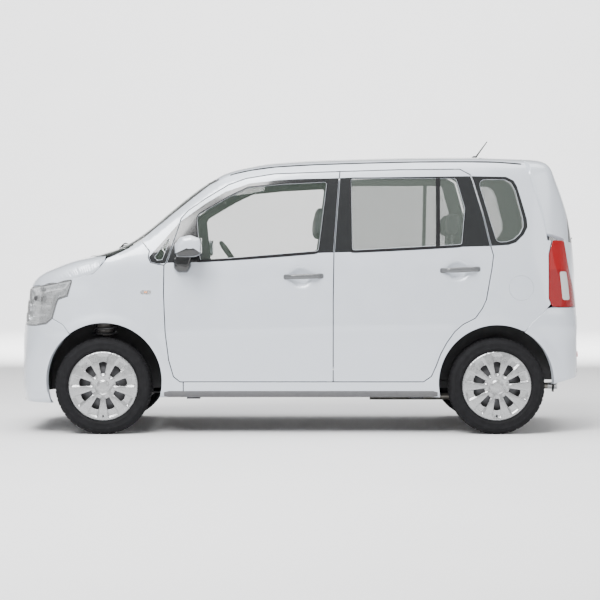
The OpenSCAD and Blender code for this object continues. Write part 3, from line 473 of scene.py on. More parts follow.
def make_panel(name, space, outline, mats, body="body", holes=(), inlays=(), step=24, edge_step=9, thick=14.0,
        roll=1.6, lip=12.0, dark=(), shape=None, both=True, offset=0.0, back_kind=1):
    """Closed panel over the body surface: skin with rolled edges, side walls and a back.

    mats are the skin, the back, then what inlays name. dark lists circles whose walls are
    material 1 past the lip. shape(u, v) pushes the skin in, in millimetres.
    """
    flat, tris, kind = flat_mesh(outline, holes, inlays, step, edge_step)
    n = len(flat)
    push = np.zeros(n) if shape is None else np.array([shape(u, v) for u, v in flat])
    top = np.array([space.lift(u, v, d - offset) for (u, v), d in zip(flat, push)])
    nrm = triangle_normals(top, tris)
    trial = np.array(space.lift(flat[0][0], flat[0][1], 10.0)) - top[0]
    if trial @ nrm[0] > 0:
        tris = tris[:, ::-1]
        nrm = -nrm
    bottom = np.array([space.lift(u, v, max(thick, d + 2.0)) for (u, v), d in zip(flat, push)])
    verts, faces, kinds, norms = [top, bottom], [], [], []
    for f, k in zip(tris, kind):
        faces.append(tuple(int(i) for i in f))
        kinds.append(k)
        norms += [nrm[i] for i in f]
    back_n = -triangle_normals(bottom, tris)
    for f in tris:
        g = tuple(int(i) + n for i in f[::-1])
        faces.append(g)
        kinds.append(back_kind)
        norms += [back_n[i - n] for i in g]
    base = 2 * n
    for loop in border_loops(tris):
        pts = flat[loop]
        ahead = np.roll(pts, -1, axis=0) - np.roll(pts, 1, axis=0)
        out = np.stack([ahead[:, 1], -ahead[:, 0]], 1)
        out /= np.maximum(np.linalg.norm(out, axis=1), 1e-9)[:, None]
        if not inside(np.array([pts[0] - out[0] * 0.5]), outline)[0] and inside(np.array([pts[0] + out[0] * 0.5]),
                outline)[0]:
            out = -out
        probe = pts + out * 0.3
        ins = inside(probe, outline)
        for h in holes:
            ins &= ~inside(probe, h)
        if ins.mean() > 0.5:
            out = -out
        rings = [np.array(loop)]
        ring_n = [nrm[loop]]
        moves = [(0.5, 0.13), (0.87, 0.5), (1.0, 1.0)]
        wall = []
        for s, d in moves:
            rows = np.array([space.lift(p[0] + q[0] * roll * s, p[1] + q[1] * roll * s,
                push[i] + roll * d - offset) for p, q, i in zip(pts, out, loop)])
            verts.append(rows)
            rings.append(np.arange(base, base + len(loop)))
            base += len(loop)
            wall.append(rows)
        side = np.roll(wall[-1], -1, axis=0) - np.roll(wall[-1], 1, axis=0)
        way = np.array([np.array(space.lift(p[0], p[1], 20.0)) - np.array(space.lift(p[0], p[1], 0.0))
            for p in pts])
        sn = np.cross(side, way)
        sn /= np.maximum(np.linalg.norm(sn, axis=1), 1e-9)[:, None]
        flip = np.sign(((wall[-1] - top[loop]) * sn).sum(1).sum())
        sn *= flip if flip else 1.0
        for s in (0.45, 0.8, 1.0):
            v = nrm[loop] * (1 - s) + sn * s
            ring_n.append(v / np.maximum(np.linalg.norm(v, axis=1), 1e-9)[:, None])
        if thick > lip + 4:
            rows = np.array([space.lift(p[0] + q[0] * roll, p[1] + q[1] * roll, push[i] + lip) for p, q,
                i in zip(pts, out, loop)])
            verts.append(rows)
            rings.append(np.arange(base, base + len(loop)))
            ring_n.append(sn)
            base += len(loop)
        rings.append(np.array(loop) + n)
        ring_n.append(sn)
        m = len(loop)
        darkened = [any(hypot(p[0] - c[0], p[1] - c[1]) < c[2] + 12 for c in dark) for p in pts]
        for r in range(len(rings) - 1):
            deep = r == len(rings) - 2 and thick > lip + 4
            for k in range(m):
                j = (k + 1) % m
                faces.append((int(rings[r][j]), int(rings[r][k]), int(rings[r + 1][k]), int(rings[r + 1][j])))
                kinds.append(1 if deep and darkened[k] else 0)
                norms += [ring_n[r][j], ring_n[r][k], ring_n[r + 1][k], ring_n[r + 1][j]]
    verts = np.concatenate(verts)
    pieces = []
    for s in (both if isinstance(both, tuple) else SIDES if both else (-1,)):
        v = verts * (1, -s, 1)
        if s < 0:
            f, nn = faces, norms
        else:
            f = [tuple(reversed(q)) for q in faces]
            nn = []
            at = 0
            for q in faces:
                nn += [(a[0], -a[1], a[2]) for a in reversed(norms[at:at + len(q)])]
                at += len(q)
        title = name.replace("SIDE", SIDE_NAME[s])
        rides = body.replace("SIDE", SIDE_NAME[s])
        pieces.append(new_piece(title, v, f, mats, kinds, [tuple(a) for a in nn], rides))
    return pieces if both else pieces[0]


# ---- Finishes ----

def colours():
    return bpy.context.scene.hatch_colours


def sizes():
    return bpy.context.scene.hatch_sizes


def link(tree, a, b):
    tree.links.new(a, b)


FINISHES = {}


def new_finish(name):
    """The finish of that name, and its nodes when it is new."""
    if name in FINISHES:
        return FINISHES[name], None, None
    mat = FINISHES[name] = bpy.data.materials.new(name)
    mat.use_nodes = True
    return mat, mat.node_tree, mat.node_tree.nodes["Principled BSDF"]


def noise(tree, scale, detail=3.0, rough=0.5):
    where = tree.nodes.new("ShaderNodeTexCoord")
    tex = tree.nodes.new("ShaderNodeTexNoise")
    tex.inputs["Scale"].default_value = scale
    tex.inputs["Detail"].default_value = detail
    tex.inputs["Roughness"].default_value = rough
    link(tree, where.outputs["Object"], tex.inputs["Vector"])
    return tex.outputs["Fac"]


def ranged(tree, source, low, high):
    node = tree.nodes.new("ShaderNodeMapRange")
    node.inputs["From Min"].default_value = 0.3
    node.inputs["From Max"].default_value = 0.7
    node.inputs["To Min"].default_value = low
    node.inputs["To Max"].default_value = high
    link(tree, source, node.inputs["Value"])
    return node.outputs["Result"]


def two_tone(tree, source, a, b):
    node = tree.nodes.new("ShaderNodeMix")
    node.data_type = "RGBA"
    node.inputs["A"].default_value = (*a[:3], 1)
    node.inputs["B"].default_value = (*b[:3], 1)
    link(tree, source, node.inputs["Factor"])
    return node.outputs["Result"]


def bumped(tree, shader, source, strength, depth):
    node = tree.nodes.new("ShaderNodeBump")
    node.inputs["Strength"].default_value = strength
    node.inputs["Distance"].default_value = depth
    link(tree, source, node.inputs["Height"])
    link(tree, node.outputs["Normal"], shader.inputs["Normal"])


def plain_finish(name, colour, rough=0.5, metal=0.0, vary=0.06, scale=30.0, grain=0.0, grain_scale=900.0, coat=0.0,
        spread=0.06, specular=0.5):
    """Finish with soft colour variation, uneven gloss and a fine grain."""
    mat, tree, bsdf = new_finish(name)
    if tree is None:
        return mat
    c = np.array(colour[:3])
    cloud = noise(tree, scale)
    link(tree, two_tone(tree, ranged(tree, cloud, 0, 1), c * (1 - vary), np.minimum(c * (1 + vary), 1)),
        bsdf.inputs["Base Color"])
    link(tree, ranged(tree, noise(tree, scale * 4), max(rough - spread, 0.02), min(rough + spread, 1)),
        bsdf.inputs["Roughness"])
    bsdf.inputs["Metallic"].default_value = metal
    bsdf.inputs["Coat Weight"].default_value = coat
    bsdf.inputs["Coat Roughness"].default_value = 0.05
    bsdf.inputs["Specular IOR Level"].default_value = specular
    if grain:
        bumped(tree, bsdf, noise(tree, grain_scale, 2.0), grain, 0.0006)
    return mat


def body_paint():
    """Pale metallic paint under a clear coat."""
    mat, tree, bsdf = new_finish("pearl_paint")
    if tree is None:
        return mat
    c = np.array(colours().paint[:3])
    flake = tree.nodes.new("ShaderNodeTexVoronoi")
    where = tree.nodes.new("ShaderNodeTexCoord")
    flake.inputs["Scale"].default_value = 1800
    link(tree, where.outputs["Object"], flake.inputs["Vector"])
    sparkle = tree.nodes.new("ShaderNodeSeparateColor")
    link(tree, flake.outputs["Color"], sparkle.inputs["Color"])
    fine = two_tone(tree, sparkle.outputs["Red"], c * 0.97, np.minimum(c * 1.03, 1))
    soft = tree.nodes.new("ShaderNodeMix")
    soft.data_type = "RGBA"
    soft.blend_type = "MULTIPLY"
    soft.inputs["Factor"].default_value = 1.0
    link(tree, fine, soft.inputs["A"])
    link(tree, two_tone(tree, ranged(tree, noise(tree, 3.0), 0, 1), (0.985, 0.985, 0.99), (1, 1, 1)),
        soft.inputs["B"])
    link(tree, soft.outputs["Result"], bsdf.inputs["Base Color"])
    link(tree, ranged(tree, noise(tree, 12), 0.36, 0.44), bsdf.inputs["Roughness"])
    bsdf.inputs["Metallic"].default_value = 0.25
    bsdf.inputs["Coat Weight"].default_value = 1.0
    bsdf.inputs["Coat Roughness"].default_value = 0.06
    bumped(tree, bsdf, noise(tree, 260, 1.0), 0.02, 0.0004)
    return mat


def glass(name, tint, rough=0.02, density=0.16, rim=0.7):
    """Thin tinted glass: clear face on; at glancing views its opacity rises, so the diffuse tint shows there as a
    painted reflection.
    """
    mat, tree, bsdf = new_finish(name)
    if tree is None:
        return mat
    c = np.array(tint[:3])
    link(tree, two_tone(tree, ranged(tree, noise(tree, 6), 0, 1), c * 0.985, np.minimum(c * 1.015, 1)),
        bsdf.inputs["Base Color"])
    bsdf.inputs["Roughness"].default_value = rough
    bsdf.inputs["IOR"].default_value = 1.5
    bsdf.inputs["Specular IOR Level"].default_value = 1.0
    # Painted reflection: the Fresnel factor lifts the opacity from density up to rim, so the tint brightens the
    # glass at glancing views.
    edge = tree.nodes.new("ShaderNodeFresnel")
    edge.inputs["IOR"].default_value = 1.5
    node = tree.nodes.new("ShaderNodeMapRange")
    node.inputs["To Min"].default_value = density
    node.inputs["To Max"].default_value = rim
    link(tree, edge.outputs["Fac"], node.inputs["Value"])
    link(tree, node.outputs["Result"], bsdf.inputs["Alpha"])
    return mat


def cloth(name, a, b, scale=700.0, rough=0.9):
    """Woven cloth: two crossing sets of threads."""
    mat, tree, bsdf = new_finish(name)
    if tree is None:
        return mat
    where = tree.nodes.new("ShaderNodeTexCoord")
    waves = []
    for way in ("X", "Z"):
        wave = tree.nodes.new("ShaderNodeTexWave")
        wave.bands_direction = way
        wave.inputs["Scale"].default_value = scale / 6.3
        wave.inputs["Distortion"].default_value = 0.6
        link(tree, where.outputs["Object"], wave.inputs["Vector"])
        waves.append(wave.outputs["Fac"])
    both = tree.nodes.new("ShaderNodeMath")
    both.operation = "MULTIPLY"
    link(tree, waves[0], both.inputs[0])
    link(tree, waves[1], both.inputs[1])
    cloud = tree.nodes.new("ShaderNodeMath")
    cloud.operation = "MULTIPLY_ADD"
    cloud.inputs[1].default_value = 0.35
    link(tree, noise(tree, 24), cloud.inputs[0])
    link(tree, both.outputs[0], cloud.inputs[2])
    link(tree, two_tone(tree, cloud.outputs[0], a, b), bsdf.inputs["Base Color"])
    link(tree, ranged(tree, noise(tree, 80), rough - 0.08, min(rough + 0.06, 1)), bsdf.inputs["Roughness"])
    bsdf.inputs["Sheen Weight"].default_value = 0.35
    bumped(tree, bsdf, both.outputs[0], 0.5, 0.0006)
    return mat


def black_trim():
    return plain_finish("black_trim", colours().trim, 0.55, vary=0.15, grain=0.25, grain_scale=1400, specular=0.3)


def gloss_black():
    return plain_finish("gloss_black", (0.012, 0.013, 0.014), 0.12, vary=0.1, grain=0.02, coat=0.6)


def seal_rubber():
    return plain_finish("seal_rubber", (0.012, 0.012, 0.013), 0.75, vary=0.15, grain=0.2, specular=0.15)


def inner_black():
    return plain_finish("inner_black", (0.014, 0.014, 0.015), 0.9, vary=0.2, grain=0.3, grain_scale=300,
        specular=0.1)


def cabin_plastic():
    return plain_finish("cabin_plastic", colours().cabin, 0.6, vary=0.1, grain=0.35, grain_scale=1100)


def mirror_silver():
    return plain_finish("mirror_glass", (0.75, 0.77, 0.78), 0.03, metal=1.0, vary=0.01, spread=0.01)


def clear_pane():
    return glass("clear_glass", colours().clear_glass)


def dark_pane():
    return glass("dark_glass", colours().dark_glass, 0.02, 0.36)


def lamp_glass():
    return glass("lamp_lens", (0.85, 0.87, 0.88), 0.02, 0.03, 0.2)


def seat_finishes():
    """Cloth of the middle and of the sides, plastic and steel of a seat."""
    a = np.array(colours().seat[:3])
    return (cloth("seat_cloth", a * 0.8, a * 1.35), cloth("seat_side_cloth", a * 0.45, a * 0.75, 500),
        plain_finish("seat_plastic", colours().cabin, 0.6, vary=0.1, grain=0.3), bright_metal())


# ---- Outlines of the left side, in millimetres ----

FRONT_DOOR = [(-812, 1010), (-814, 840), (-803, 603), (-783, 443), (-755, 345), (-716, 314), (198, 314), (198, 803),
    (203, 1090), (240, 1573), (-153, 1559), (-325, 1531), (-429, 1493), (-566, 1410), (-669, 1338), (-713, 1290),
    (-722, 1255), (-797, 1027)]
REAR_DOOR_BACK = [(737, 314), (784, 347), (809, 402), (839, 481), (875, 548), (923, 615), (972, 657), (1045, 694),
    (1088, 754), (1111, 803), (1145, 987), (1156, 1069), (1140, 1124), (1095, 1317), (1036, 1518), (1023, 1553),
    (961, 1587), (600, 1584)]
REAR_DOOR = [(198, 314)] + REAR_DOOR_BACK + [(240, 1573), (203, 1090), (198, 803)]
BAND = [(-904, 1057), (-890, 1026), (-849, 1017), (-795, 1024), (-550, 1029), (112, 1083), (297, 1088), (596, 1101),
    (954, 1119), (1140, 1124), (1247, 1131), (1292, 1146), (1339, 1192), (1363, 1238), (1360, 1284), (1335, 1376),
    (1303, 1484), (1284, 1518), (1239, 1541), (1028, 1545), (299, 1536), (161, 1531), (-2, 1528), (-122, 1522),
    (-302, 1501), (-452, 1449), (-571, 1377), (-720, 1269)]
FRONT_PANE = [(-596, 1038), (-618, 1290), (-604, 1316), (-428, 1420), (-311, 1476), (-100, 1497), (151, 1510),
    (161, 1500), (110, 1096)]
REAR_PANE = [(312, 1099), (306, 1524), (312, 1531), (926, 1533), (940, 1524), (988, 1352), (967, 1134)]
FRONT_TRIANGLE = [(-872, 1056), (-852, 1040), (-822, 1042), (-762, 1206)]
QUARTER_PANE = [(1066, 1526), (1232, 1524), (1270, 1503), (1293, 1455), (1336, 1290), (1339, 1242), (1318, 1200),
    (1282, 1166), (1243, 1151), (1176, 1146)]
PILLAR_FRONT = [(-545, 1496), (-663, 1402), (-754, 1330), (-844, 1258), (-952, 1161)]
GATE_SIDE = [(1352, 1640), (1378, 1568), (1420, 1429), (1456, 1314), (1481, 1199), (1488, 1162)]


def height_at(x, y):
    return top_point(x, -abs(y)).z


def body_side_outline():
    roof_edge = [(x, height_at(x, 560)) for x in (1346, 1200, 1000, 700, 400, 100, -150, -300, -400, -470)]
    over = [(-722, 1255), (-713, 1290), (-669, 1338), (-566, 1410), (-429, 1493), (-325, 1531), (-153, 1559),
        (240, 1573)]
    return ([(-697, 314)] + REAR_DOOR_BACK + over[::-1] + [(-797, 1027), (-812, 1010), (-849, 1015), (-892, 1026),
        (-906, 1057), (-900, 1095), (-952, 1161)] + PILLAR_FRONT[::-1][1:] + roof_edge[::-1] + GATE_SIDE
        + [(1514, 1161), (1493, 1077), (1488, 811), (1500, 778), (1478, 752), (1340, 613)]
        + arc(*REAR_ARCH, 1340, 613, 843, 218, 1)[1:] + [(-697, 218)])


def wing_outline():
    return ([(-1366, 928), (-1237, 962), (-1200, 996), (-1155, 1053), (-1118, 1068), (-1070, 1092), (-1024, 1115),
        (-952, 1161), (-900, 1095), (-906, 1057), (-892, 1026), (-849, 1015), (-812, 1010), (-814, 840),
        (-803, 603), (-783, 443), (-755, 345), (-716, 314), (-697, 314), (-697, 218)]
        + arc(*FRONT_ARCH, -843, 218, -1375, 600, 1) + [(-1393, 626), (-1420, 658), (-1480, 690), (-1456, 777),
        (-1445, 805), (-1389, 825), (-1366, 905)])


def gap():
    return sizes().panel_gap / 2 / MM + 1.6


class HATCH_OT_sides(Operator):
    """Builds the body sides and the front wings."""
    bl_idname = "hatch.sides"
    bl_label = "Body Sides"

    def execute(self, context):
        paint, black, gloss = body_paint(), inner_black(), gloss_black()
        g = gap()
        band = rounded(BAND, BAND_RADIUS)
        outline = inset(body_side_outline(), g)
        panes = [rounded(QUARTER_PANE, 40), rounded(FRONT_TRIANGLE, 14)]
        for s, holes in ((-1, panes + [circle(*FLAP_MIDDLE, FLAP_RADIUS + 4, 64)]), (1, panes)):
            side = make_panel("side_skin_SIDE", SIDE_MAP, outline, [paint, black, gloss], holes=holes,
                inlays=[(band, 2)], step=22, thick=80, dark=ARCHES, both=(s,))[0]
            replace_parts(side, "body_side_" + SIDE_NAME[s])
        for w in make_panel("wing_SIDE", SIDE_MAP, inset(wing_outline(), g), [paint, black], step=18, thick=26,
                dark=ARCHES):
            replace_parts(w, "front_fenders")
        return {"FINISHED"}


class HATCH_OT_roof(Operator):
    """Builds the roof."""
    bl_idname = "hatch.roof"
    bl_label = "Roof"

    def execute(self, context):
        paint, black = body_paint(), inner_black()
        half = [(x, -560) for x in (1352, 900, 400, 0, -300, -440)]
        half += [(-505, -545), (-528, -400), (-540, -200), (-544, 0)]
        full = half + [(x, -y) for x, y in half[::-1][1:]]
        roof = make_panel("roof_skin", TOP_MAP, inset(full, 2.6), [paint, black], step=30, thick=38, both=False,
            shape=roof_ribs)
        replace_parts(roof, "roof")
        return {"FINISHED"}


def roof_ribs(x, y):
    """Two long shallow channels in the roof."""
    fade = float(soft_step((x + 380) / 160) * soft_step((1250 - x) / 160))
    return sum(3.0 * fade * exp(-((abs(y) - c) / 16) ** 2) for c in (190, 400))


def side_seam(points):
    return [side_point(x, z) for x, z in points]


def both_halves(space, left):
    """Outline on a map from 3D points of its left half, given from the middle round."""
    pts = [space.flat(p) for p in left]
    mirrored = [space.flat((p[0], -p[1], p[2])) for p in left[::-1]]
    return pts + mirrored


class HATCH_OT_bonnet(Operator):
    """Builds the bonnet."""
    bl_idname = "hatch.bonnet"
    bl_label = "Bonnet"

    def execute(self, context):
        paint, black = body_paint(), inner_black()
        seam = [(-1163, 1052), (-1200, 996), (-1237, 962), (-1300, 945), (-1366, 928), (-1460, 909), (-1562, 890)]
        left = [top_point(-1163, -20)] + [top_point(-1163, y) for y in (-200, -400, -560)]
        left += side_seam(seam)
        left += [front_point(y, 880) for y in (-540, -450, -300, -150, -20)]
        outline = inset(both_halves(BONNET_MAP, left), gap())
        bonnet = make_panel("bonnet_skin", BONNET_MAP, outline, [paint, black], body="bonnet", step=11, edge_step=6,
            thick=20, both=False, shape=bonnet_shape)
        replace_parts(bonnet, "bonnet")
        return {"FINISHED"}


def bonnet_shape(y, v):
    """Raised middle between two soft lines."""
    return 3.5 * ease((abs(y) - 240 - (620 - v) * 0.12) / 190)


class HATCH_OT_tailgate(Operator):
    """Builds the tailgate."""
    bl_idname = "hatch.tailgate"
    bl_label = "Tailgate"

    def execute(self, context):
        paint, black, gloss = body_paint(), inner_black(), gloss_black()
        left = [top_point(1352, -10), top_point(1352, -300), top_point(1352, -520)]
        left += side_seam([(1352, 1640), (1378, 1568), (1420, 1429), (1456, 1314), (1481, 1199)])
        left += [rear_point(-562, 1162), rear_point(-562, 1000), rear_point(-562, 850), rear_point(-560, 705)]
        left += [rear_point(-400, 705), rear_point(-200, 705), rear_point(-10, 705)]
        outline = inset(both_halves(GATE_MAP, left), gap())
        window = both_halves(GATE_MAP, [rear_point(y, z) for y, z in ((-10, 1506), (-250, 1505), (-430, 1497),
            (-478, 1440), (-512, 1300), (-530, 1150), (-400, 1130), (-200, 1124), (-10, 1122))])
        pane = inset(window, 26)
        gate = make_panel("tailgate_skin", GATE_MAP, outline, [paint, black, gloss], body="tailgate", holes=[pane],
            inlays=[(window, 2)], step=22, thick=48, both=False)
        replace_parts(gate, "tailgate")
        make_panel("tailgate_pane", GATE_MAP, inset(pane, 1.0), [dark_pane()] * 2, body="tailgate", step=40,
            thick=5, offset=-2.5, both=False, roll=0.6)
        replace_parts(bpy.data.objects["tailgate_pane"], "tailgate_window")
        return {"FINISHED"}


def handle_dish(cx, cz):
    """Scoop behind a door handle."""
    def shape(u, v):
        d = hypot((u - cx) / 1.12, v - cz) / 58
        return 21 * max(0.0, 1 - d ** 2.6) ** 0.75 if d < 1 else 0.0
    return shape


class HATCH_OT_doors(Operator):
    """Builds the four doors."""
    bl_idname = "hatch.doors"
    bl_label = "Doors"

    def execute(self, context):
        paint, black, gloss = body_paint(), inner_black(), gloss_black()
        trim = plain_finish("door_trim", colours().cabin, 0.7, vary=0.1, grain=0.35)
        clear, dark = clear_pane(), dark_pane()
        g = gap()
        band = rounded(BAND, BAND_RADIUS)
        for which, seam, pane, tint, dish in (("front", FRONT_DOOR, FRONT_PANE, clear, (6, 940)),
                ("rear", REAR_DOOR, REAR_PANE, dark, (942, 977))):
            hole = rounded(pane, 18)
            body = which + "_door_SIDE"
            skins = make_panel(which + "_door_skin_SIDE", SIDE_MAP, inset(seam, g), [paint, paint, gloss],
                body=body, holes=[hole], inlays=[(band, 2)], step=15, thick=25, shape=handle_dish(*dish))
            make_panel(which + "_door_inner_SIDE", SIDE_MAP, inset(seam, g + 14), [black, trim], body=body,
                holes=[hole], step=40, thick=86, offset=-24, lip=60)
            panes = make_panel(which + "_door_glass_SIDE", SIDE_MAP, inset(hole, 0.5), [tint, tint], body=body,
                step=40, thick=9.5, offset=-5.5, roll=0.5)
            for s, a, b in zip(SIDE_NAME.values(), skins, panes):
                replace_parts(a, f"{which}_door_{s}")
                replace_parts(b, f"{which}_window_{s}")
        return {"FINISHED"}


class HATCH_OT_fixed_glass(Operator):
    """Builds the windscreen and the quarter panes."""
    bl_idname = "hatch.fixed_glass"
    bl_label = "Fixed Glass"

    def execute(self, context):
        clear, dark = clear_pane(), dark_pane()
        gloss = gloss_black()
        for name, pane, tint, r in (("front_triangle_SIDE", FRONT_TRIANGLE, clear, 14),
                ("quarter_glass_SIDE", QUARTER_PANE, dark, 40)):
            for p in make_panel(name, SIDE_MAP, inset(rounded(pane, r), 0.5), [tint, tint], step=40, thick=7,
                    offset=-2.5, roll=0.5):
                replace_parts(p, "quarter_windows")
        left = [front_point(-10, 1066), front_point(-300, 1066), front_point(-560, 1066), front_point(-648, 1064),
            front_point(-636, 1120), front_point(-604, 1290), front_point(-571, 1450), front_point(-556, 1528),
            front_point(-400, 1531), front_point(-200, 1533), front_point(-10, 1534)]
        outer = rounded(both_halves(TOP_MAP, left), 14)
        screen = inset(outer, 1.0)
        clear_part = rounded(inset(both_halves(TOP_MAP, left), 34), 30)
        pane = make_panel("windscreen_glass", TOP_MAP, screen, [clear, clear, gloss],
            inlays=[(screen, 2), (clear_part, 0)], step=36, thick=6, both=False, roll=0.8)
        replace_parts(pane, "windscreen")
        return {"FINISHED"}


# ---- Stage ----

class HATCH_OT_stage(Operator):
    """Builds the floor, the lights and the camera."""
    bl_idname = "hatch.stage"
    bl_label = "Stage"

    def execute(self, context):
        prof = [(0.0, 0.0), (8.0, 0.0), (18.0, 0.0)]
        prof += [(18 + 9 * sin(a), 9 - 9 * cos(a)) for a in np.linspace(0.12, 1.35, 12)]
        n = 96
        verts, faces = [], []
        for r, z in prof:
            verts += [(r * cos(2 * pi * k / n), r * sin(2 * pi * k / n), z) for k in range(n)]
        for i in range(len(prof) - 1):
            for k in range(n):
                j = (k + 1) % n
                faces.append((i * n + k, i * n + j, (i + 1) * n + j, (i + 1) * n + k))
        me = bpy.data.meshes.new("floor")
        me.from_pydata(verts, [], faces)
        me.polygons.foreach_set("use_smooth", [True] * len(me.polygons))
        me.materials.append(plain_finish("pale_floor", (0.86, 0.86, 0.865), 0.9, vary=0.01, scale=1.0,
            specular=0.1))
        floor = bpy.data.objects.new("floor", me)
        context.scene.collection.objects.link(floor)
        world = bpy.data.worlds.new("studio")
        world.use_nodes = True
        world.node_tree.nodes["Background"].inputs["Color"].default_value = (1.0, 1.0, 1.0, 1)
        world.node_tree.nodes["Background"].inputs["Strength"].default_value = sizes().sky
        context.scene.world = world
        for name, place, aim, size, power in (("key", (-2.5, -6.5, 7.5), (0, 0, 0.9), 5.0, 1600.0),
                ("top", (0.5, 0.5, 9.0), (0, 0, 0), 9.0, 1000.0),
                ("fill", (6.5, -5.5, 4.5), (0.5, 0, 0.8), 4.0, 140.0),
                ("backdrop", (0, 9.0, 9.0), (0, 24, 5.0), 12.0, 8500.0)):
            lamp = bpy.data.lights.new(name, "AREA")
            lamp.size = size
            lamp.energy = power
            obj = bpy.data.objects.new(name, lamp)
            obj.location = place
            obj.rotation_euler = (Vector(aim) - Vector(place)).to_track_quat("-Z", "Y").to_euler()
            context.scene.collection.objects.link(obj)
        cam = bpy.data.cameras.new("camera")
        cam.lens = 118.5
        cam.sensor_width = 36
        cam.clip_end = 200
        eye = bpy.data.objects.new("camera", cam)
        eye.location = (0, -12.488, 1.035)
        eye.rotation_euler = (radians(90 - 1.13), 0, 0)
        context.scene.collection.objects.link(eye)
        context.scene.camera = eye
        return {"FINISHED"}


# ---- Shapes made of rings, turned profiles and tubes ----

class Shape:
    """Points, faces and material numbers of one piece, in millimetres."""

    def __init__(self):
        self.verts, self.faces, self.kinds = [], [], []

    def add(self, verts, faces, kind=0):
        base = len(self.verts)
        self.verts += [tuple(v) for v in verts]
        self.faces += [tuple(base + i for i in f) for f in faces]
        self.kinds += [kind] * len(faces) if isinstance(kind, int) else list(kind)

    def rings(self, rings, kind=0, caps=True, round_trip=False):
        """Skin through equal closed rings of points."""
        n, m = len(rings), len(rings[0])
        faces, kinds = [], []
        for i in range(n if round_trip else n - 1):
            for k in range(m):
                j, i2 = (k + 1) % m, (i + 1) % n
                faces.append((i * m + k, i * m + j, i2 * m + j, i2 * m + k))
                kinds.append(kind if isinstance(kind, int) else kind[k])
        if caps and not round_trip:
            faces += [tuple(range(m))[::-1], tuple((n - 1) * m + k for k in range(m))]
            kinds += [kinds[0], kinds[0] if isinstance(kind, int) else max(set(kind), key=list(kind).count)]
        self.add([p for r in rings for p in r], faces, kinds)

    def turned(self, profile, place, kind=0, n=64, axis="y", tilt=None):
        """Closed profile of (radius, along) turned about an axis through place."""
        def at(r, t, a):
            c, s = r * cos(a), r * sin(a)
            p = Vector({"x": (t, c, s), "y": (c, t, s), "z": (c, s, t)}[axis])
            return tuple(Vector(place) + (tilt @ p if tilt else p))
        rings = [[at(r, t, 2 * pi * k / n) for r, t in profile] for k in range(n)]
        self.rings(rings, kind, round_trip=True)

    def peg(self, radius, high, place, kind=0, n=64, axis="y"):
        """Plain round peg."""
        self.turned([(0.01, 0), (radius, 0), (radius, high), (0.01, high)], place, kind, n, axis)

    def tube(self, points, radius, kind=0, n=12, flat=1.0):
        """Round bar along points; flat squeezes it across."""
        pts = [Vector(p) for p in points]
        rings, side = [], None
        for i, p in enumerate(pts):
            way = (pts[min(i + 1, len(pts) - 1)] - pts[max(i - 1, 0)]).normalized()
            if side is None:
                side = way.orthogonal().normalized()
            side = (side - way * side.dot(way)).normalized()
            up = way.cross(side)
            r = radius[i] if isinstance(radius, (list, tuple)) else radius
            rings.append([tuple(p + side * r * cos(2 * pi * k / n) + up * r * flat * sin(2 * pi * k / n))
                for k in range(n)])
        self.rings(rings, kind)

    def slab(self, outline, to_3d, low, high, edge=1.5, kind=0):
        """Outline between two levels with softened edges; to_3d(u, v, level) gives the point."""
        small = inset(outline, edge)
        step = edge if high > low else -edge
        levels = [(small, low), (outline, low + step), (outline, high - step), (small, high)]
        self.rings([[tuple(to_3d(u, v, t)) for u, v in loop] for loop, t in levels], kind)

    def block(self, low, high, edge=2.0, kind=0, turn=None):
        """Box with softened edges; turn is a rotation about its middle."""
        (x0, y0, z0), (x1, y1, z1) = low, high
        mid = Vector(((x0 + x1) / 2, (y0 + y1) / 2, (z0 + z1) / 2))
        edge = min(edge, 0.4 * min(x1 - x0, y1 - y0, z1 - z0))

        def lifted(u, v, t):
            p = Vector((u, v, t))
            return mid + turn @ (p - mid) if turn else p
        corners = rounded([(x0, y0), (x1, y0), (x1, y1), (x0, y1)], edge * 1.5, 3)
        self.slab(corners, lifted, z0, z1, edge, kind)

    def piece(self, name, mats, body="body", side=-1, sharp=40.0):
        """Object of the shape; side 1 turns it over to the right side."""
        flip = 1 if side < 0 else -1
        me = bpy.data.meshes.new(name)
        me.from_pydata([(x * MM, y * flip * MM, z * MM) for x, y, z in self.verts], [], self.faces)
        for m in mats:
            me.materials.append(m)
        me.polygons.foreach_set("material_index", self.kinds)
        bm = bmesh.new()
        bm.from_mesh(me)
        bmesh.ops.remove_doubles(bm, verts=bm.verts, dist=2e-5)
        bmesh.ops.recalc_face_normals(bm, faces=bm.faces)
        bm.to_mesh(me)
        bm.free()
        me.polygons.foreach_set("use_smooth", [True] * len(me.polygons))
        me.set_sharp_from_angle(angle=radians(sharp))
        obj = bpy.data.objects.new(name, me)
        bpy.context.scene.collection.objects.link(obj)
        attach(obj, body)
        return obj

    def pair(self, name, mats, body="body", sharp=40.0):
        """Left and right objects of a shape drawn on the left."""
        return [self.piece(name.replace("SIDE", word), mats, body.replace("SIDE", word), s, sharp) for s,
            word in SIDE_NAME.items()]


def strip(shape, space, path, wide, out, deep, kind=0, ends=0.35):
    """Bar that follows the body: path is map points, wide its height, out how far it stands."""
    rings = []
    path = [np.array(p, float) for p in path]
    for i, p in enumerate(path):
        way = path[min(i + 1, len(path) - 1)] - path[max(i - 1, 0)]
        way = way / np.hypot(*way)
        side = np.array([-way[1], way[0]])
        k = ends if i in (0, len(path) - 1) else 1.0
        w, o = wide / 2 * (0.5 + 0.5 * k), out * k
        ring = []
        for a, b in ((-1, deep), (-1, -o * 0.45), (-0.72, -o * 0.9), (0, -o), (0.72, -o * 0.9), (1, -o * 0.45),
                (1, deep)):
            q = p + side * w * a
            ring.append(tuple(space.lift(q[0], q[1], b)))
        rings.append(ring)
    shape.rings(rings, kind)


def line(a, b, n=16):
    return [(a[0] + (b[0] - a[0]) * k / n, a[1] + (b[1] - a[1]) * k / n) for k in range(n + 1)]


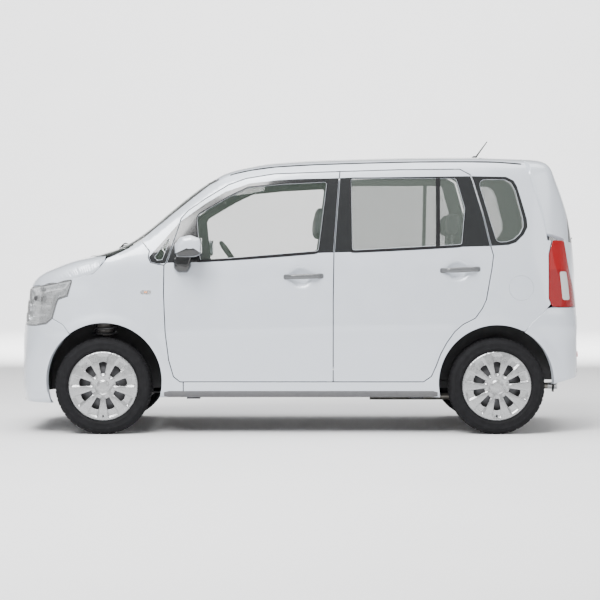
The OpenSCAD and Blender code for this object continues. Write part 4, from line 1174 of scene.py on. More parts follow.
def smooth_line(points, n=8):
    """Catmull curve through points of any size."""
    pts = [np.array(p, float) for p in points]
    out = []
    for i in range(len(pts) - 1):
        p0, p1, p2, p3 = pts[max(i - 1, 0)], pts[i], pts[i + 1], pts[min(i + 2, len(pts) - 1)]
        for k in range(n):
            t = k / n
            out.append(tuple(0.5 * (2 * p1 + (p2 - p0) * t + (2 * p0 - 5 * p1 + 4 * p2 - p3) * t * t
                + (3 * p1 - p0 - 3 * p2 + p3) * t ** 3)))
    return out + [tuple(pts[-1])]


def chrome():
    return plain_finish("chrome", (0.82, 0.83, 0.84), 0.08, metal=1.0, vary=0.02, spread=0.03)


def bright_metal():
    return plain_finish("bright_metal", (0.62, 0.63, 0.64), 0.3, metal=0.9, vary=0.05, grain=0.1)


def dark_metal():
    return plain_finish("dark_metal", (0.10, 0.10, 0.105), 0.5, metal=0.7, vary=0.2, grain=0.25, grain_scale=500)


def lens(name, tint, scale, rough=0.04):
    """Clear or coloured plastic with a moulded grid."""
    mat, tree, bsdf = new_finish(name)
    if tree is None:
        return mat
    where = tree.nodes.new("ShaderNodeTexCoord")
    both = tree.nodes.new("ShaderNodeMath")
    both.operation = "ADD"
    for i, way in enumerate(("Y", "Z")):
        wave = tree.nodes.new("ShaderNodeTexWave")
        wave.bands_direction = way
        wave.inputs["Scale"].default_value = scale
        link(tree, where.outputs["Object"], wave.inputs["Vector"])
        link(tree, wave.outputs["Fac"], both.inputs[i])
    c = np.array(tint[:3])
    link(tree, two_tone(tree, both.outputs[0], c * 0.88, c), bsdf.inputs["Base Color"])
    bsdf.inputs["Roughness"].default_value = rough
    bsdf.inputs["Specular IOR Level"].default_value = 0.25
    bsdf.inputs["Coat Weight"].default_value = 0.35
    bsdf.inputs["Coat Roughness"].default_value = 0.03
    bsdf.inputs["IOR"].default_value = 1.45
    bumped(tree, bsdf, both.outputs[0], 0.35, 0.002)
    return mat


def red_lens():
    return lens("red_lens", (0.28, 0.002, 0.004), 160)


def clear_lens():
    return lens("clear_lens", (0.50, 0.51, 0.51), 90)


# ---- Front end ----

def across_nose(y, z):
    """Level line on the nose map from -y to y."""
    return line((NOSE_MAP.flat(front_point(-y, z))[0], z), (NOSE_MAP.flat(front_point(y, z))[0], z), 30)


def up_nose(y, low, high):
    """Upright line on the nose map."""
    return line(NOSE_MAP.flat(front_point(y, low)), NOSE_MAP.flat(front_point(y, high)), 6)


def lower_grille_hole(grow=0.0):
    return [NOSE_MAP.flat(front_point(y, z)) for y, z in ((-395 - grow, 424 + grow), (395 + grow, 424 + grow),
        (430 + grow, 396), (418 + grow, 268 - grow), (-418 - grow, 268 - grow), (-430 - grow, 396))]


def bumper_shape(_, v):
    """Lower lip, and a soft step under the lamps."""
    lip = 9.0 * ease((262 - v) / 26) * float(soft_step((v - 196) / 10) * 0.6 + 0.4)
    groove = 3.5 * exp(-((v - 612) / 7) ** 2)
    return lip + groove


class HATCH_OT_front_bumper(Operator):
    """Builds the front bumper."""
    bl_idname = "hatch.front_bumper"
    bl_label = "Front Bumper"

    def execute(self, context):
        paint, black = body_paint(), inner_black()
        left = [front_point(y, 188) for y in (-10, -250, -450, -560)]
        left += side_seam([(-1580, 186), (-1530, 186)])
        left += side_seam(arc(*FRONT_ARCH, -1490, 184, -1375, 600, -1, 20))
        left += side_seam([(-1393, 626), (-1420, 658), (-1480, 690), (-1516, 658), (-1587, 646)])
        left += [front_point(y, z) for y, z in ((-480, 650), (-372, 655), (-365, 706), (-200, 706), (-10, 706))]
        outline = inset(both_halves(NOSE_MAP, left), 2.2)
        hole = rounded(lower_grille_hole(), 26)
        bumper = make_panel("front_bumper_skin", NOSE_MAP, outline, [paint, black], holes=[hole], step=20, thick=34,
            both=False, shape=bumper_shape)
        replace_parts(bumper, "front_bumper")
        return {"FINISHED"}


class HATCH_OT_grille(Operator):
    """Builds the upper and the lower grille."""
    bl_idname = "hatch.grille"
    bl_label = "Grilles"

    def execute(self, context):
        black, trim, bright, paint = inner_black(), black_trim(), chrome(), body_paint()
        left = [front_point(y, z) for y, z in ((-10, 874), (-200, 874), (-364, 872), (-372, 800), (-364, 708),
            (-200, 708), (-10, 708))]
        frame_line = both_halves(NOSE_MAP, left)
        back = inset(frame_line, 2)
        make_panel("upper_grille_back", NOSE_MAP, back, [black, black], both=False, thick=70, offset=-46, step=40)
        grille = Shape()
        surround = rounded(inset(frame_line, 12), 20)
        strip(grille, NOSE_MAP, spaced(surround, 24) + [surround[0]], 20, 3, 22, 0, ends=1.0)
        for z in (736, 762, 788, 836):
            strip(grille, NOSE_MAP, across_nose(352, z), 9, -4, 26, 1, ends=1.0)
        for y in np.linspace(-300, 300, 11):
            strip(grille, NOSE_MAP, up_nose(y, 722, 862), 5, -12, 26, 1, ends=1.0)
        strip(grille, NOSE_MAP, across_nose(350, 812), 24, 6, 20, 2)
        piece = grille.piece("upper_grille", [paint, trim, bright])
        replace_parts(piece, "grille")
        lower = Shape()
        for z in (296, 324, 352, 380, 408):
            strip(lower, NOSE_MAP, across_nose(424, z), 9, -13, 34, 0, ends=1.0)
        for y in np.linspace(-330, 330, 7):
            strip(lower, NOSE_MAP, up_nose(y, 268, 424), 7, -16, 30, 0, ends=1.0)
        lower.piece("lower_grille", [trim])
        make_panel("lower_grille_back", NOSE_MAP, rounded(lower_grille_hole(6), 26), [black, black], both=False,
            thick=66, offset=-48, step=40)
        return {"FINISHED"}


HEADLAMP = [(-1562, 890), (-1460, 909), (-1366, 928), (-1362, 909), (-1389, 825), (-1445, 805), (-1456, 777),
    (-1480, 690), (-1516, 658), (-1587, 646)]


def headlamp_outline():
    pts = side_seam(HEADLAMP) + [front_point(y, z) for y, z in ((-480, 650), (-372, 655), (-368, 873), (-450, 876),
        (-540, 880))]
    return [NOSE_MAP.flat(p) for p in pts]


class HATCH_OT_headlamps(Operator):
    """Builds the headlamps."""
    bl_idname = "hatch.headlamps"
    bl_label = "Headlamps"

    def execute(self, context):
        outline = inset(rounded(headlamp_outline(), 12), 2.5)
        clear = lamp_glass()
        silver = plain_finish("lamp_housing", (0.50, 0.51, 0.52), 0.3, metal=0.85, vary=0.08)
        grey, bright = plain_finish("lamp_edge", (0.03, 0.03, 0.032), 0.4, vary=0.1), chrome()
        amber = glass("amber_bulb", (1.0, 0.50, 0.22), 0.1)
        lenses = make_panel("headlamp_lens_SIDE", NOSE_MAP, outline, [clear, clear], step=22, thick=4, roll=1.2)

        def bowl(u, v):
            d = float(border_distance(np.array([[u, v]]), [outline])[0])
            return 6 + 40 * ease(d / 46) + 3.0 * sin(v / 9.0) * ease((d - 30) / 20)
        make_panel("headlamp_housing_SIDE", NOSE_MAP, inset(outline, 1.0), [silver, grey, grey],
            inlays=[(inset(outline, 1.5), 2), (inset(outline, 9), 0)], step=12, thick=64, shape=bowl, roll=0.8)
        for p in lenses:
            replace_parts(p, "headlamps")
        lamps = Shape()
        for y, z, r in ((-452, 826, 36), (-452, 752, 38), (-470, 692, 27)):
            x = front_point(y, z).x + 9
            dish = [(r, 0), (r * 0.93, r * 0.25), (r * 0.74, r * 0.55), (r * 0.45, r * 0.82), (r * 0.14, r * 0.95),
                (r * 0.14, r * 1.02), (r * 0.5, r * 0.95), (r * 0.82, r * 0.65), (r * 1.04, r * 0.28),
                (r * 1.08, 0)]
            lamps.turned(dish, (x, y, z), 0, 40, "x")
            lamps.turned([(r * 1.08, -3), (r * 1.18, 0), (r * 1.12, 12), (r * 1.0, 8), (r, 0)], (x, y, z), 1, 40,
                "x")
            bulb = [(0.01, 0), (r * 0.16, 2), (r * 0.21, r * 0.35), (r * 0.14, r * 0.9), (0.01, r * 0.92)]
            lamps.turned([(a, t + 3) for a, t in bulb], (x, y, z), 2 if z < 700 else 0, 16, "x")
        lamps.pair("headlamp_reflectors_SIDE", [bright, grey, amber])
        return {"FINISHED"}


class HATCH_OT_side_lamps(Operator):
    """Builds the turn lamps on the wings."""
    bl_idname = "hatch.side_lamps"
    bl_label = "Side Turn Lamps"

    def execute(self, context):
        amber = plain_finish("amber_bulb_coat", (0.75, 0.28, 0.10), 0.25, vary=0.05)
        clear = lamp_glass()
        pill = rounded([(-950, 838), (-890, 838), (-890, 860), (-950, 860)], 10.5, 8)
        turn = Shape()
        turn.slab(pill, lambda u, v, t: (u, side_point(u, v).y - t, v), -6, 5, 3.0)
        turn.pair("side_turn_lamp_SIDE", [clear])
        bulb = Shape()
        bulb.tube([(-929, side_point(-929, 849).y - 2, 849), (-911, side_point(-911, 849).y - 2, 849)], 5, 0, 14)
        bulb.pair("side_turn_bulb_SIDE", [amber])
        base = Shape()
        base.slab(inset(pill, -2.5), lambda u, v, t: (u, side_point(u, v).y - t, v), -6, 1.2, 1.0)
        base.pair("side_turn_base_SIDE", [bright_metal()])
        return {"FINISHED"}


# ---- Rear end ----

def tail_lamp_outline():
    pts = side_seam([(1520, 1160), (1494, 1077), (1488, 811), (1506, 764), (1560, 760)])
    pts += [rear_point(y, z) for y, z in ((-568, 760), (-568, 900), (-568, 1000), (-568, 1160))]
    return [TAIL_MAP.flat(p) for p in pts]


class HATCH_OT_tail_lamps(Operator):
    """Builds the tail lamps."""
    bl_idname = "hatch.tail_lamps"
    bl_label = "Tail Lamps"

    def execute(self, context):
        outline = inset(rounded(tail_lamp_outline(), 14), 2.5)
        red = red_lens()
        deep_red = lens("deep_red_lens", (0.22, 0.001, 0.003), 160)
        clear = clear_lens()
        silver, black = chrome(), inner_black()
        u0, u1 = min(p[0] for p in outline), max(p[0] for p in outline)
        split = [(u0 - 5, 985), (u1 + 5, 985), (u1 + 5, 700), (u0 - 5, 700)]
        a, b = (TAIL_MAP.flat(side_point(x, 980))[0] for x in (1556, 1600))
        section = rounded([(a, 972), (b, 972), (b, 802), (a, 802)], 16)
        lenses = make_panel("tail_lamp_lens_SIDE", TAIL_MAP, outline, [red, red, deep_red, clear],
            inlays=[(clip_to(split, outline), 2), (clip_to(section, outline, 4), 3)], step=20, thick=6, roll=2.2,
            offset=2.0)

        def bowl(u, w):
            d = float(border_distance(np.array([[u, w]]), [outline])[0])
            return 9 + 26 * ease(d / 30)
        make_panel("tail_lamp_housing_SIDE", TAIL_MAP, inset(outline, 1.0), [silver, black], step=12, thick=44,
            shape=bowl, roll=0.8)
        for p in lenses:
            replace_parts(p, "tail_lamps")
        return {"FINISHED"}


def clip_to(poly, outline, margin=0.0):
    """Part of a convex polygon inside an outline, as seen by pulling its points in."""
    lim = inset(outline, margin + 0.6)
    pts = np.array(spaced(poly, 6), float)
    keep = inside(pts, lim)
    out = []
    lim = np.array(spaced(lim, 3))
    for p, k in zip(pts, keep):
        q = p if k else lim[np.argmin(np.hypot(*(lim - p).T))]
        if not out or hypot(q[0] - out[-1][0], q[1] - out[-1][1]) > 1.0:
            out.append((float(q[0]), float(q[1])))
    if hypot(out[0][0] - out[-1][0], out[0][1] - out[-1][1]) < 1.0:
        out.pop()
    return out


def rear_bumper_shape(_, v):
    """Step over the lower lip, and a raised top edge."""
    return 5.0 * ease((600 - v) / 30) * ease((v - 300) / 60) * 0.6 - 3.0 * float(soft_step((v
        - 610) / 20)) * ease((740 - v) / 30)


class HATCH_OT_rear_bumper(Operator):
    """Builds the rear bumper and its reflectors."""
    bl_idname = "hatch.rear_bumper"
    bl_label = "Rear Bumper"

    def execute(self, context):
        paint, black, red = body_paint(), inner_black(), lens("red_reflector", (0.75, 0.02, 0.02), 420)
        left = [rear_point(y, 342) for y in (-10, -300, -500)] + side_seam([(1610, 322), (1560, 308)])
        left += side_seam(arc(*REAR_ARCH, 1519, 296, 1340, 613, 1, 20))
        left += side_seam([(1384, 666), (1476, 751), (1500, 757), (1560, 757)])
        left += [rear_point(y, z) for y, z in ((-565, 757), (-560, 702), (-300, 702), (-10, 702))]
        outline = inset(both_halves(TAIL_MAP, left), 2.2)
        bumper = make_panel("rear_bumper_skin", TAIL_MAP, outline, [paint, black], step=20, thick=34, both=False,
            shape=rear_bumper_shape)
        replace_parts(bumper, "rear_bumper")
        marks = Shape()
        ends = [TAIL_MAP.flat(rear_point(y, 470)) for y in (-520, -410)]
        strip(marks, TAIL_MAP, line((ends[0][0], 470), (ends[1][0], 470), 8), 34, 4, 8)
        marks.pair("rear_reflector_SIDE", [red])
        skirt = Shape()
        for z in (362, 376):
            a, b = TAIL_MAP.flat(rear_point(-470, z)), TAIL_MAP.flat(rear_point(470, z))
            strip(skirt, TAIL_MAP, line((a[0], z), (b[0], z), 24), 8, -0.2, 8)
        skirt.piece("rear_bumper_lip", [black_trim()])
        return {"FINISHED"}


class HATCH_OT_flap(Operator):
    """Builds the fuel flap."""
    bl_idname = "hatch.flap"
    bl_label = "Fuel Flap"

    def execute(self, context):
        paint, black = body_paint(), inner_black()
        flap = make_panel("fuel_flap_skin", SIDE_MAP, circle(*FLAP_MIDDLE, FLAP_RADIUS, 64), [paint, black],
            body="fuel_flap", both=False, step=20, thick=9, roll=2.0)
        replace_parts(flap, "fuel_flap")
        return {"FINISHED"}


# ---- Doors' outside details ----

class HATCH_OT_handles(Operator):
    """Builds the outer door handles."""
    bl_idname = "hatch.handles"
    bl_label = "Door Handles"

    def execute(self, context):
        # Painted shade: the handles are body-coloured, and this dark grey, shared by the pads, stands in for the
        # shade they sit in.
        paint = plain_finish("handle_painted_shade", (0.11, 0.115, 0.12), 0.32, metal=0.2, vary=0.06, coat=0.4)
        black, bright = gloss_black(), bright_metal()
        for which, x0, x1, z0, z1 in (("front", -88, 130, 940, 946), ("rear", 845, 1066, 978, 987)):
            bar, lock = Shape(), Shape()
            rings = []
            n = 26
            for i in range(n + 1):
                t = i / n
                x, z = x0 + (x1 - x0) * t, z0 + (z1 - z0) * t
                lift = 25 * sin(pi * min(t, 1 - t) / 0.44) if min(t, 1 - t) < 0.22 else 25
                high = 11.5 + 4.5 * sin(pi * t)
                y = side_point(x, z).y + 2
                ring = []
                for k in range(14):
                    a = 2 * pi * k / 14
                    ring.append((x, y - lift - 7.5 * cos(a) - 3, z + high * sin(a)))
                rings.append(ring)
            bar.rings(rings, 0)
            bar.pair(which + "_door_handle_SIDE", [paint], which + "_door_SIDE")
            for at in (x0 + 10, x1 - 10):
                zz = z0 + (z1 - z0) * (at - x0) / (x1 - x0)
                pad = rounded([(at - 20, zz - 15), (at + 20, zz - 15), (at + 20, zz + 15), (at - 20, zz + 15)], 12,
                    5)
                lock.slab(pad, lambda u, v, t: (u, side_point(u, v).y - t, v), -14, 5, 2)
            if which == "front":
                x, z = x1 - 10, z1
                y = side_point(x, z).y
                lock.turned([(0.01, 0), (0.01, -8.5), (7.5, -8.5), (8.5, -7.5), (8.5, 0)], (x, y, z), 1, 24)
                lock.block((x - 4.5, y - 9.2, z - 0.8), (x + 4.5, y - 8.2, z + 0.8), 0.2, 2)
            lock.pair(which + "_door_handle_pads_SIDE", [paint, bright, black], which + "_door_SIDE")
        return {"FINISHED"}


MIRROR = [(-737, 1059), (-743, 1129), (-708, 1176), (-649, 1188), (-590, 1170), (-576, 1141), (-584, 1070),
    (-620, 1058), (-690, 1054)]
MIRROR_BASE = [(-755, 1056), (-753, 993), (-729, 965), (-669, 965), (-648, 1005), (-652, 1056)]


class HATCH_OT_mirrors(Operator):
    """Builds the door mirrors."""
    bl_idname = "hatch.mirrors"
    bl_label = "Mirrors"

    def execute(self, context):
        paint, black = body_paint(), gloss_black()
        silver = mirror_silver()
        outline = rounded(MIRROR, 26, 4)
        cx, cz = -662, 1122
        shell = Shape()
        rings = []
        for y, k, slide in ((-742, 0.66, 6), (-748, 0.84, 4), (-762, 0.95, 2), (-790, 1.0, 0), (-830, 1.0, 0),
                (-862, 0.97, 3), (-880, 0.92, 5), (-891, 0.83, 8), (-897, 0.70, 11), (-900, 0.50, 14),
                (-901, 0.22, 16)):
            rings.append([(min(cx + slide + (x - cx) * k, -584), y, cz + (z - cz) * k) for x, z in outline])
        m = len(outline)
        low = [1 if (outline[k][1] + outline[(k + 1) % m][1]) / 2 < 1082 else 0 for k in range(m)]
        shell.rings(rings, low)
        for p in shell.pair("mirror_shell_SIDE", [paint, black], "front_door_SIDE"):
            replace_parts(p, "mirror_left" if "left" in p.name else "mirror_right")
        pane = Shape()
        face = rounded([(-760, 1078), (-884, 1086), (-886, 1150), (-862, 1166), (-770, 1170)], 16, 5)
        pane.slab(face, lambda u, v, t: (t, u, v), -588, -582.5, 1.0)
        pane.pair("mirror_pane_SIDE", [silver], "front_door_SIDE")
        rim = Shape()
        rim.slab(inset(face, -4), lambda u, v, t: (t, u, v), -592, -583.5, 1.5)
        rim.pair("mirror_rim_SIDE", [black], "front_door_SIDE")
        foot = Shape()
        base = rounded(MIRROR_BASE, 20, 4)
        bx, bz = -702, 1012
        foot.rings([[(bx + (x - bx) * k, y, bz + (z - bz) * k) for x, z in base] for y,
            k in ((-684, 1.0), (-712, 1.0), (-730, 0.94), (-742, 0.80), (-748, 0.62))])
        neck = [(-740, 1010), (-735, 1076), (-640, 1076), (-664, 1008)]
        foot.slab(rounded(neck, 14, 4), lambda u, v, t: (u, t, v), -716, -772, 5)
        foot.pair("mirror_foot_SIDE", [black], "front_door_SIDE")
        return {"FINISHED"}


class HATCH_OT_door_trim(Operator):
    """Builds the seals round the door glass."""
    bl_idname = "hatch.door_trim"
    bl_label = "Door Seals"

    def execute(self, context):
        seal = seal_rubber()
        front, rear = Shape(), Shape()
        for shape, pts in ((front, [(-612, 1034), (-400, 1046), (-150, 1064), (104, 1085)]),
                (rear, [(306, 1090), (600, 1104), (965, 1124)])):
            strip(shape, SIDE_MAP, smooth_line(pts, 8), 15, 3.2, 7, 0)
        strip(rear, SIDE_MAP, [(824, 1116), (826, 1300), (828, 1532)], 24, 2.4, 8, 0, ends=1.0)
        front.pair("front_door_belt_seal_SIDE", [seal], "front_door_SIDE")
        rear.pair("rear_door_belt_seal_SIDE", [seal], "rear_door_SIDE")
        for which, pane in (("front", FRONT_PANE), ("rear", REAR_PANE)):
            run = Shape()
            loop = spaced(inset(rounded(pane, 18), -3), 16)
            strip(run, SIDE_MAP, loop + [loop[0]], 6, 1.6, 6, 0, ends=1.0)
            run.pair(which + "_door_glass_run_SIDE", [seal], which + "_door_SIDE")
        return {"FINISHED"}


# ---- Wheels ----

def wheel_place(which):
    """Middle of a left wheel."""
    return (-HALF_WHEELBASE if which == "front" else HALF_WHEELBASE, -HALF_TRACK, TYRE_RADIUS)


COVER = [(0, 77), (20, 77), (29, 76), (34, 71), (38, 68), (44, 69), (50, 72), (80, 76), (104, 78), (132, 78),
    (158, 76), (180, 75), (190, 74), (194, 72), (198, 73.5), (203, 73), (206, 68), (208, 62)]


class CoverMap:
    """Flat map of a left wheel's outer face, with the cover's turned profile."""

    def __init__(self, place, ribs):
        self.place, self.ribs = place, ribs
        self.curve = smooth_curve([p[0] for p in COVER], [p[1] for p in COVER])

    def flat(self, p):
        return (p[0] - self.place[0], p[2] - self.place[2])

    def lift(self, u, v, depth):
        r = hypot(u, v)
        turn = atan2(v, u) - pi / 2
        wave = ease((cos(self.ribs * turn) + 0.2) / 0.5)
        out = float(self.curve(r)) - 9.0 * wave * float(soft_step((r - 54) / 22) * soft_step((191 - r) / 8))
        return Vector((self.place[0] + u, self.place[1] - out + depth, self.place[2] + v))


def cover_openings(ribs):
    """Outlines of the openings: round-cornered, wider outwards."""
    holes = []
    for k in range(ribs):
        a = pi / 2 + 2 * pi * k / ribs
        half_in, half_out = pi / ribs * 0.50, pi / ribs * 0.54
        pts = [(76, -half_in), (144, -half_out), (147, 0), (144, half_out), (76, half_in)]
        pts = [(r * cos(a + t), r * sin(a + t)) for r, t in pts]
        holes.append(rounded(pts, [9, 14, 0, 14, 9], 5))
    return holes


class HATCH_OT_wheels(Operator):
    """Builds the wheel covers and rims."""
    bl_idname = "hatch.wheels"
    bl_label = "Wheels"

    def execute(self, context):
        silver = plain_finish("wheel_cover", colours().cover, 0.3, metal=0.75, vary=0.04, grain=0.05, coat=0.2)
        dark, bright, black = dark_metal(), bright_metal(), inner_black()
        for which, ribs in (("front", 9), ("rear", 10)):
            place = wheel_place(which)
            body = "wheel_" + which + "_SIDE"
            space = CoverMap(place, ribs)
            holes = cover_openings(ribs)
            valve = circle(0, -183, 6.0, 14)
            covers = make_panel("wheel_cover_" + which + "_SIDE", space, circle(0, 0, 206, 120), [silver, silver],
                body=body, holes=holes + [valve], step=6, edge_step=4, thick=4.0, roll=1.4)
            for p in covers:
                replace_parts(p, "wheel_" + which + ("_left" if "left" in p.name else "_right"))
            rim = Shape()
            x, y, z = place
            rim.turned([(190, 66), (196, 68), (197, 62), (192, 55), (184, 48), (180, 30), (168, 20), (166, -20),
                (180, -40), (186, -60), (194, -66), (195, -62), (188, -52), (184, -36), (170, -18), (170, 16),
                (176, 22)], (x, y, z), 0, 96)
            rim.turned([(168, -14), (150, -20), (110, -34), (70, -38), (50, -36), (50, -31), (70, -33), (108, -28),
                (148, -14), (168, -8)], (x, y, z), 0, 64)
            for k in range(4):
                a = pi / 4 + k * pi / 2
                rim.turned([(0.01, -34), (0.01, -48), (6, -48), (10, -44), (10, -34)],
                    (x + 50 * cos(a), y, z + 50 * sin(a)), 1, 6)
            rim.turned([(0.01, 0), (27, 0), (27, -8), (24, -14), (0.01, -16)], (x, y - 30, z), 1, 32)
            rim.turned([(4.5, -20), (4.5, 0), (0.01, 0), (0.01, -20)], (x, y - 56, z - 176), 2, 12)
            rim.pair("wheel_rim_" + which + "_SIDE", [dark, bright, black], body)
        return {"FINISHED"}


# Half of the tyre's section: radius and offset from its middle plane, from the rim to the tread.
TYRE_PROFILE = [(196, 56), (206, 61), (209, 69), (214, 75), (222, 80), (240, 82.3), (252, 82.4), (262, 80.5),
    (271, 76.5), (279, 70.5), (285, 60), (287.6, 48), (288.7, 30), (289, 12)]


class HATCH_OT_tyres(Operator):
    """Builds the tyres."""
    bl_idname = "hatch.tyres"
    bl_label = "Tyres"

    def execute(self, context):
        rubber = plain_finish("tread_rubber", (0.010, 0.010, 0.011), 0.75, vary=0.18, grain=0.35, grain_scale=700,
            specular=0.12)
        ringed = []
        for r, t in TYRE_PROFILE:
            ringed.append((r, t))
            if r == 222:
                ringed += [(224, 81.4), (226, 81.6), (228, 81.0)]
            if r == 252:
                ringed += [(254, 83.0), (256, 83.0), (258, 81.6)]
        grooves = []
        for g in (44, 15):
            grooves += [(288.3, g + 4.5), (281.5, g + 3.4), (281.5, g - 3.4), (288.8, g - 4.5)]
        right_half = [p for p in ringed[:-1] if p[1] > 50 or p[0] < 270] + grooves
        profile = right_half + [(r, -t) for r, t in right_half[::-1]]
        inner = [(r - 9 if r > 210 else r, t * 0.9) for r, t in ((205, -60), (240, -70), (270, -62), (278, -40),
            (279, 0), (278, 40), (270, 62), (240, 70), (205, 60))]
        profile += inner
        n = 216
        for which in ("front", "rear"):
            x0, y0, z0 = wheel_place(which)
            rings = []
            for k in range(n):
                a = 2 * pi * k / n
                ring = []
                for i, (r, t) in enumerate(profile):
                    shoulder = i < len(profile) - len(inner) and abs(t) > 46 and 276 < r
                    middle = i < len(profile) - len(inner) and abs(t) <= 41 and r > 286
                    cut = 0.0
                    if shoulder and k % 3 == 0:
                        cut = 4.5
                    elif middle and k % 6 == 3 and abs(t) > 18:
                        cut = 3.0
                    rr = r - cut
                    slip = 0.006 * sin(t / 20.0) if r > 276 else 0.0
                    ring.append((x0 + rr * cos(a + slip), y0 - t, z0 + rr * sin(a + slip)))
                rings.append(ring)
            tyre = Shape()
            tyre.rings(rings, 0, round_trip=True)
            for p in tyre.pair("tyre_" + which + "_tread_SIDE", [rubber], "wheel_" + which + "_SIDE", 50.0):
                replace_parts(p, "tyre_" + which + ("_left" if "left" in p.name else "_right"))
        return {"FINISHED"}


class HATCH_OT_brakes(Operator):
    """Builds the brake discs and drums."""
    bl_idname = "hatch.brakes"
    bl_label = "Brakes"

    def execute(self, context):
        iron, dark = bright_metal(), dark_metal()
        disc = Shape()
        x, y, z = wheel_place("front")
        disc.turned([(60, 14), (112, 14), (113, 10), (113, 2), (112, -2), (60, -2)], (x, y + 4, z), 0, 72)
        disc.turned([(0.01, -6), (56, -6), (60, -2), (60, 22), (0.01, 22)], (x, y + 4, z), 0, 48)
        disc.pair("brake_disc_SIDE", [iron], "wheel_front_SIDE")
        caliper = Shape()
        pts = [(112 * cos(t), 112 * sin(t)) for t in np.linspace(-0.45, 0.45, 9)]
        inner = [(74 * cos(t), 74 * sin(t)) for t in np.linspace(0.4, -0.4, 7)]
        caliper.slab(rounded(pts + inner, 6, 3), lambda u, v, t: (x + u + 14, y + t, z + v), -22, 42, 4)
        caliper.pair("brake_caliper_SIDE", [dark], "knuckle_SIDE")
        drum = Shape()
        x, y, z = wheel_place("rear")
        drum.turned([(0.01, -14), (60, -14), (96, -12), (104, -6), (106, 4), (106, 34), (110, 38), (110, 44),
            (0.01, 44)], (x, y, z), 0, 72)
        for k in range(18):
            a = 2 * pi * k / 18
            drum.block((x + 80 * cos(a) - 3, y - 15.5, z + 80 * sin(a) - 3),
                (x + 80 * cos(a) + 3, y - 11, z + 80 * sin(a) + 3), 1)
        drum.pair("brake_drum_SIDE", [dark], "wheel_rear_SIDE")
        return {"FINISHED"}


# ---- Windscreen foot, wipers, aerial, plates ----

class HATCH_OT_cowl(Operator):
    """Builds the cover at the foot of the windscreen."""
    bl_idname = "hatch.cowl"
    bl_label = "Cowl"

    def execute(self, context):
        trim, black = black_trim(), inner_black()
        left = [top_point(-1160, -10)] + [top_point(-1160, y) for y in (-200, -400, -560, -640)]
        left += [top_point(-1110, -652), (-1072, -652, 0), (-1096, -560, 0), (-1104, -300, 0), (-1106, -10, 0)]
        outline = both_halves(TOP_MAP, left)
        slots = []
        for y in np.arange(-540, 541, 30):
            if abs(abs(y) - 300) > 45:
                slots.append(rounded([(-1150, y - 9), (-1124, y - 9), (-1124, y + 9), (-1150, y + 9)], 5, 3))
        cowl = make_panel("cowl_cover", TOP_MAP, inset(outline, 2.5), [trim, black], holes=slots, both=False,
            step=24, thick=16, offset=-6)
        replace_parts(cowl, "cowl")
        make_panel("cowl_tray", TOP_MAP, inset(outline, 4), [black, black], both=False, step=60, thick=48,
            offset=-34)
        return {"FINISHED"}


def wiper(shape, space, pivot, tip, blade, lift):
    """Arm from pivot to tip with a blade between the blade's two map points."""
    def over(p, h):
        return tuple(space.lift(p[0], p[1], -h))
    shape.tube([over(pivot, -12), over(pivot, lift + 6)], [15, 12], 0, 20)
    arm = [over((pivot[0] + (tip[0] - pivot[0]) * t, pivot[1] + (tip[1] - pivot[1]) * t),
        lift + 6 + 7 * sin(pi * t) - 3 * t) for t in np.linspace(0, 1, 12)]
    shape.tube(arm, [9 - 4 * t for t in np.linspace(0, 1, 12)], 0, 10, 0.6)
    ends = line(blade[0], blade[1], 20)
    shape.tube([over(p, lift + 2 + 3 * sin(pi * i / 20)) for i, p in enumerate(ends)], 3.2, 0, 8)
    shape.tube([over(p, 4.0) for p in ends], 2.6, 1, 6)


class HATCH_OT_wipers(Operator):
    """Builds the wipers."""
    bl_idname = "hatch.wipers"
    bl_label = "Wipers"

    def execute(self, context):
        black, rubber = black_trim(), seal_rubber()
        front = Shape()
        for y0, y1, a, b in ((-20, -330, -575, -70), (470, 150, -45, 455)):
            wiper(front, TOP_MAP, (-1128, y0), (-1070, y1), ((-1072, a), (-1078, b)), 10)
        front.piece("windscreen_wipers", [black, rubber])
        back = Shape()
        low = [GATE_MAP.flat(rear_point(y, z)) for y, z in ((0, 1104), (-190, 1168), (-330, 1176), (-40, 1162))]
        wiper(back, GATE_MAP, low[0], low[1], (low[2], low[3]), 10)
        back.piece("tailgate_wiper", [black, rubber], "tailgate")
        return {"FINISHED"}


class HATCH_OT_aerial(Operator):
    """Builds the roof aerial."""
    bl_idname = "hatch.aerial"
    bl_label = "Aerial"

    def execute(self, context):
        black = black_trim()
        foot = top_point(1100, 0)
        aerial = Shape()
        aerial.turned([(0.01, -2), (24, -2), (24, 1), (20, 8), (12, 17), (7, 21), (0.01, 22)], foot, 0, 40, "z")
        way = Vector((sin(radians(36)), 0, cos(radians(36))))
        base = Vector(foot) + way * 12
        pts = [base + way * t for t in np.linspace(0, 126, 44)]
        aerial.tube(pts, [5.2 - 0.02 * t + (0.7 if i % 2 else 0) for i, t in enumerate(np.linspace(0, 126, 44))], 0,
            14)
        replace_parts(aerial.piece("roof_aerial", [black]), "antenna")
        return {"FINISHED"}


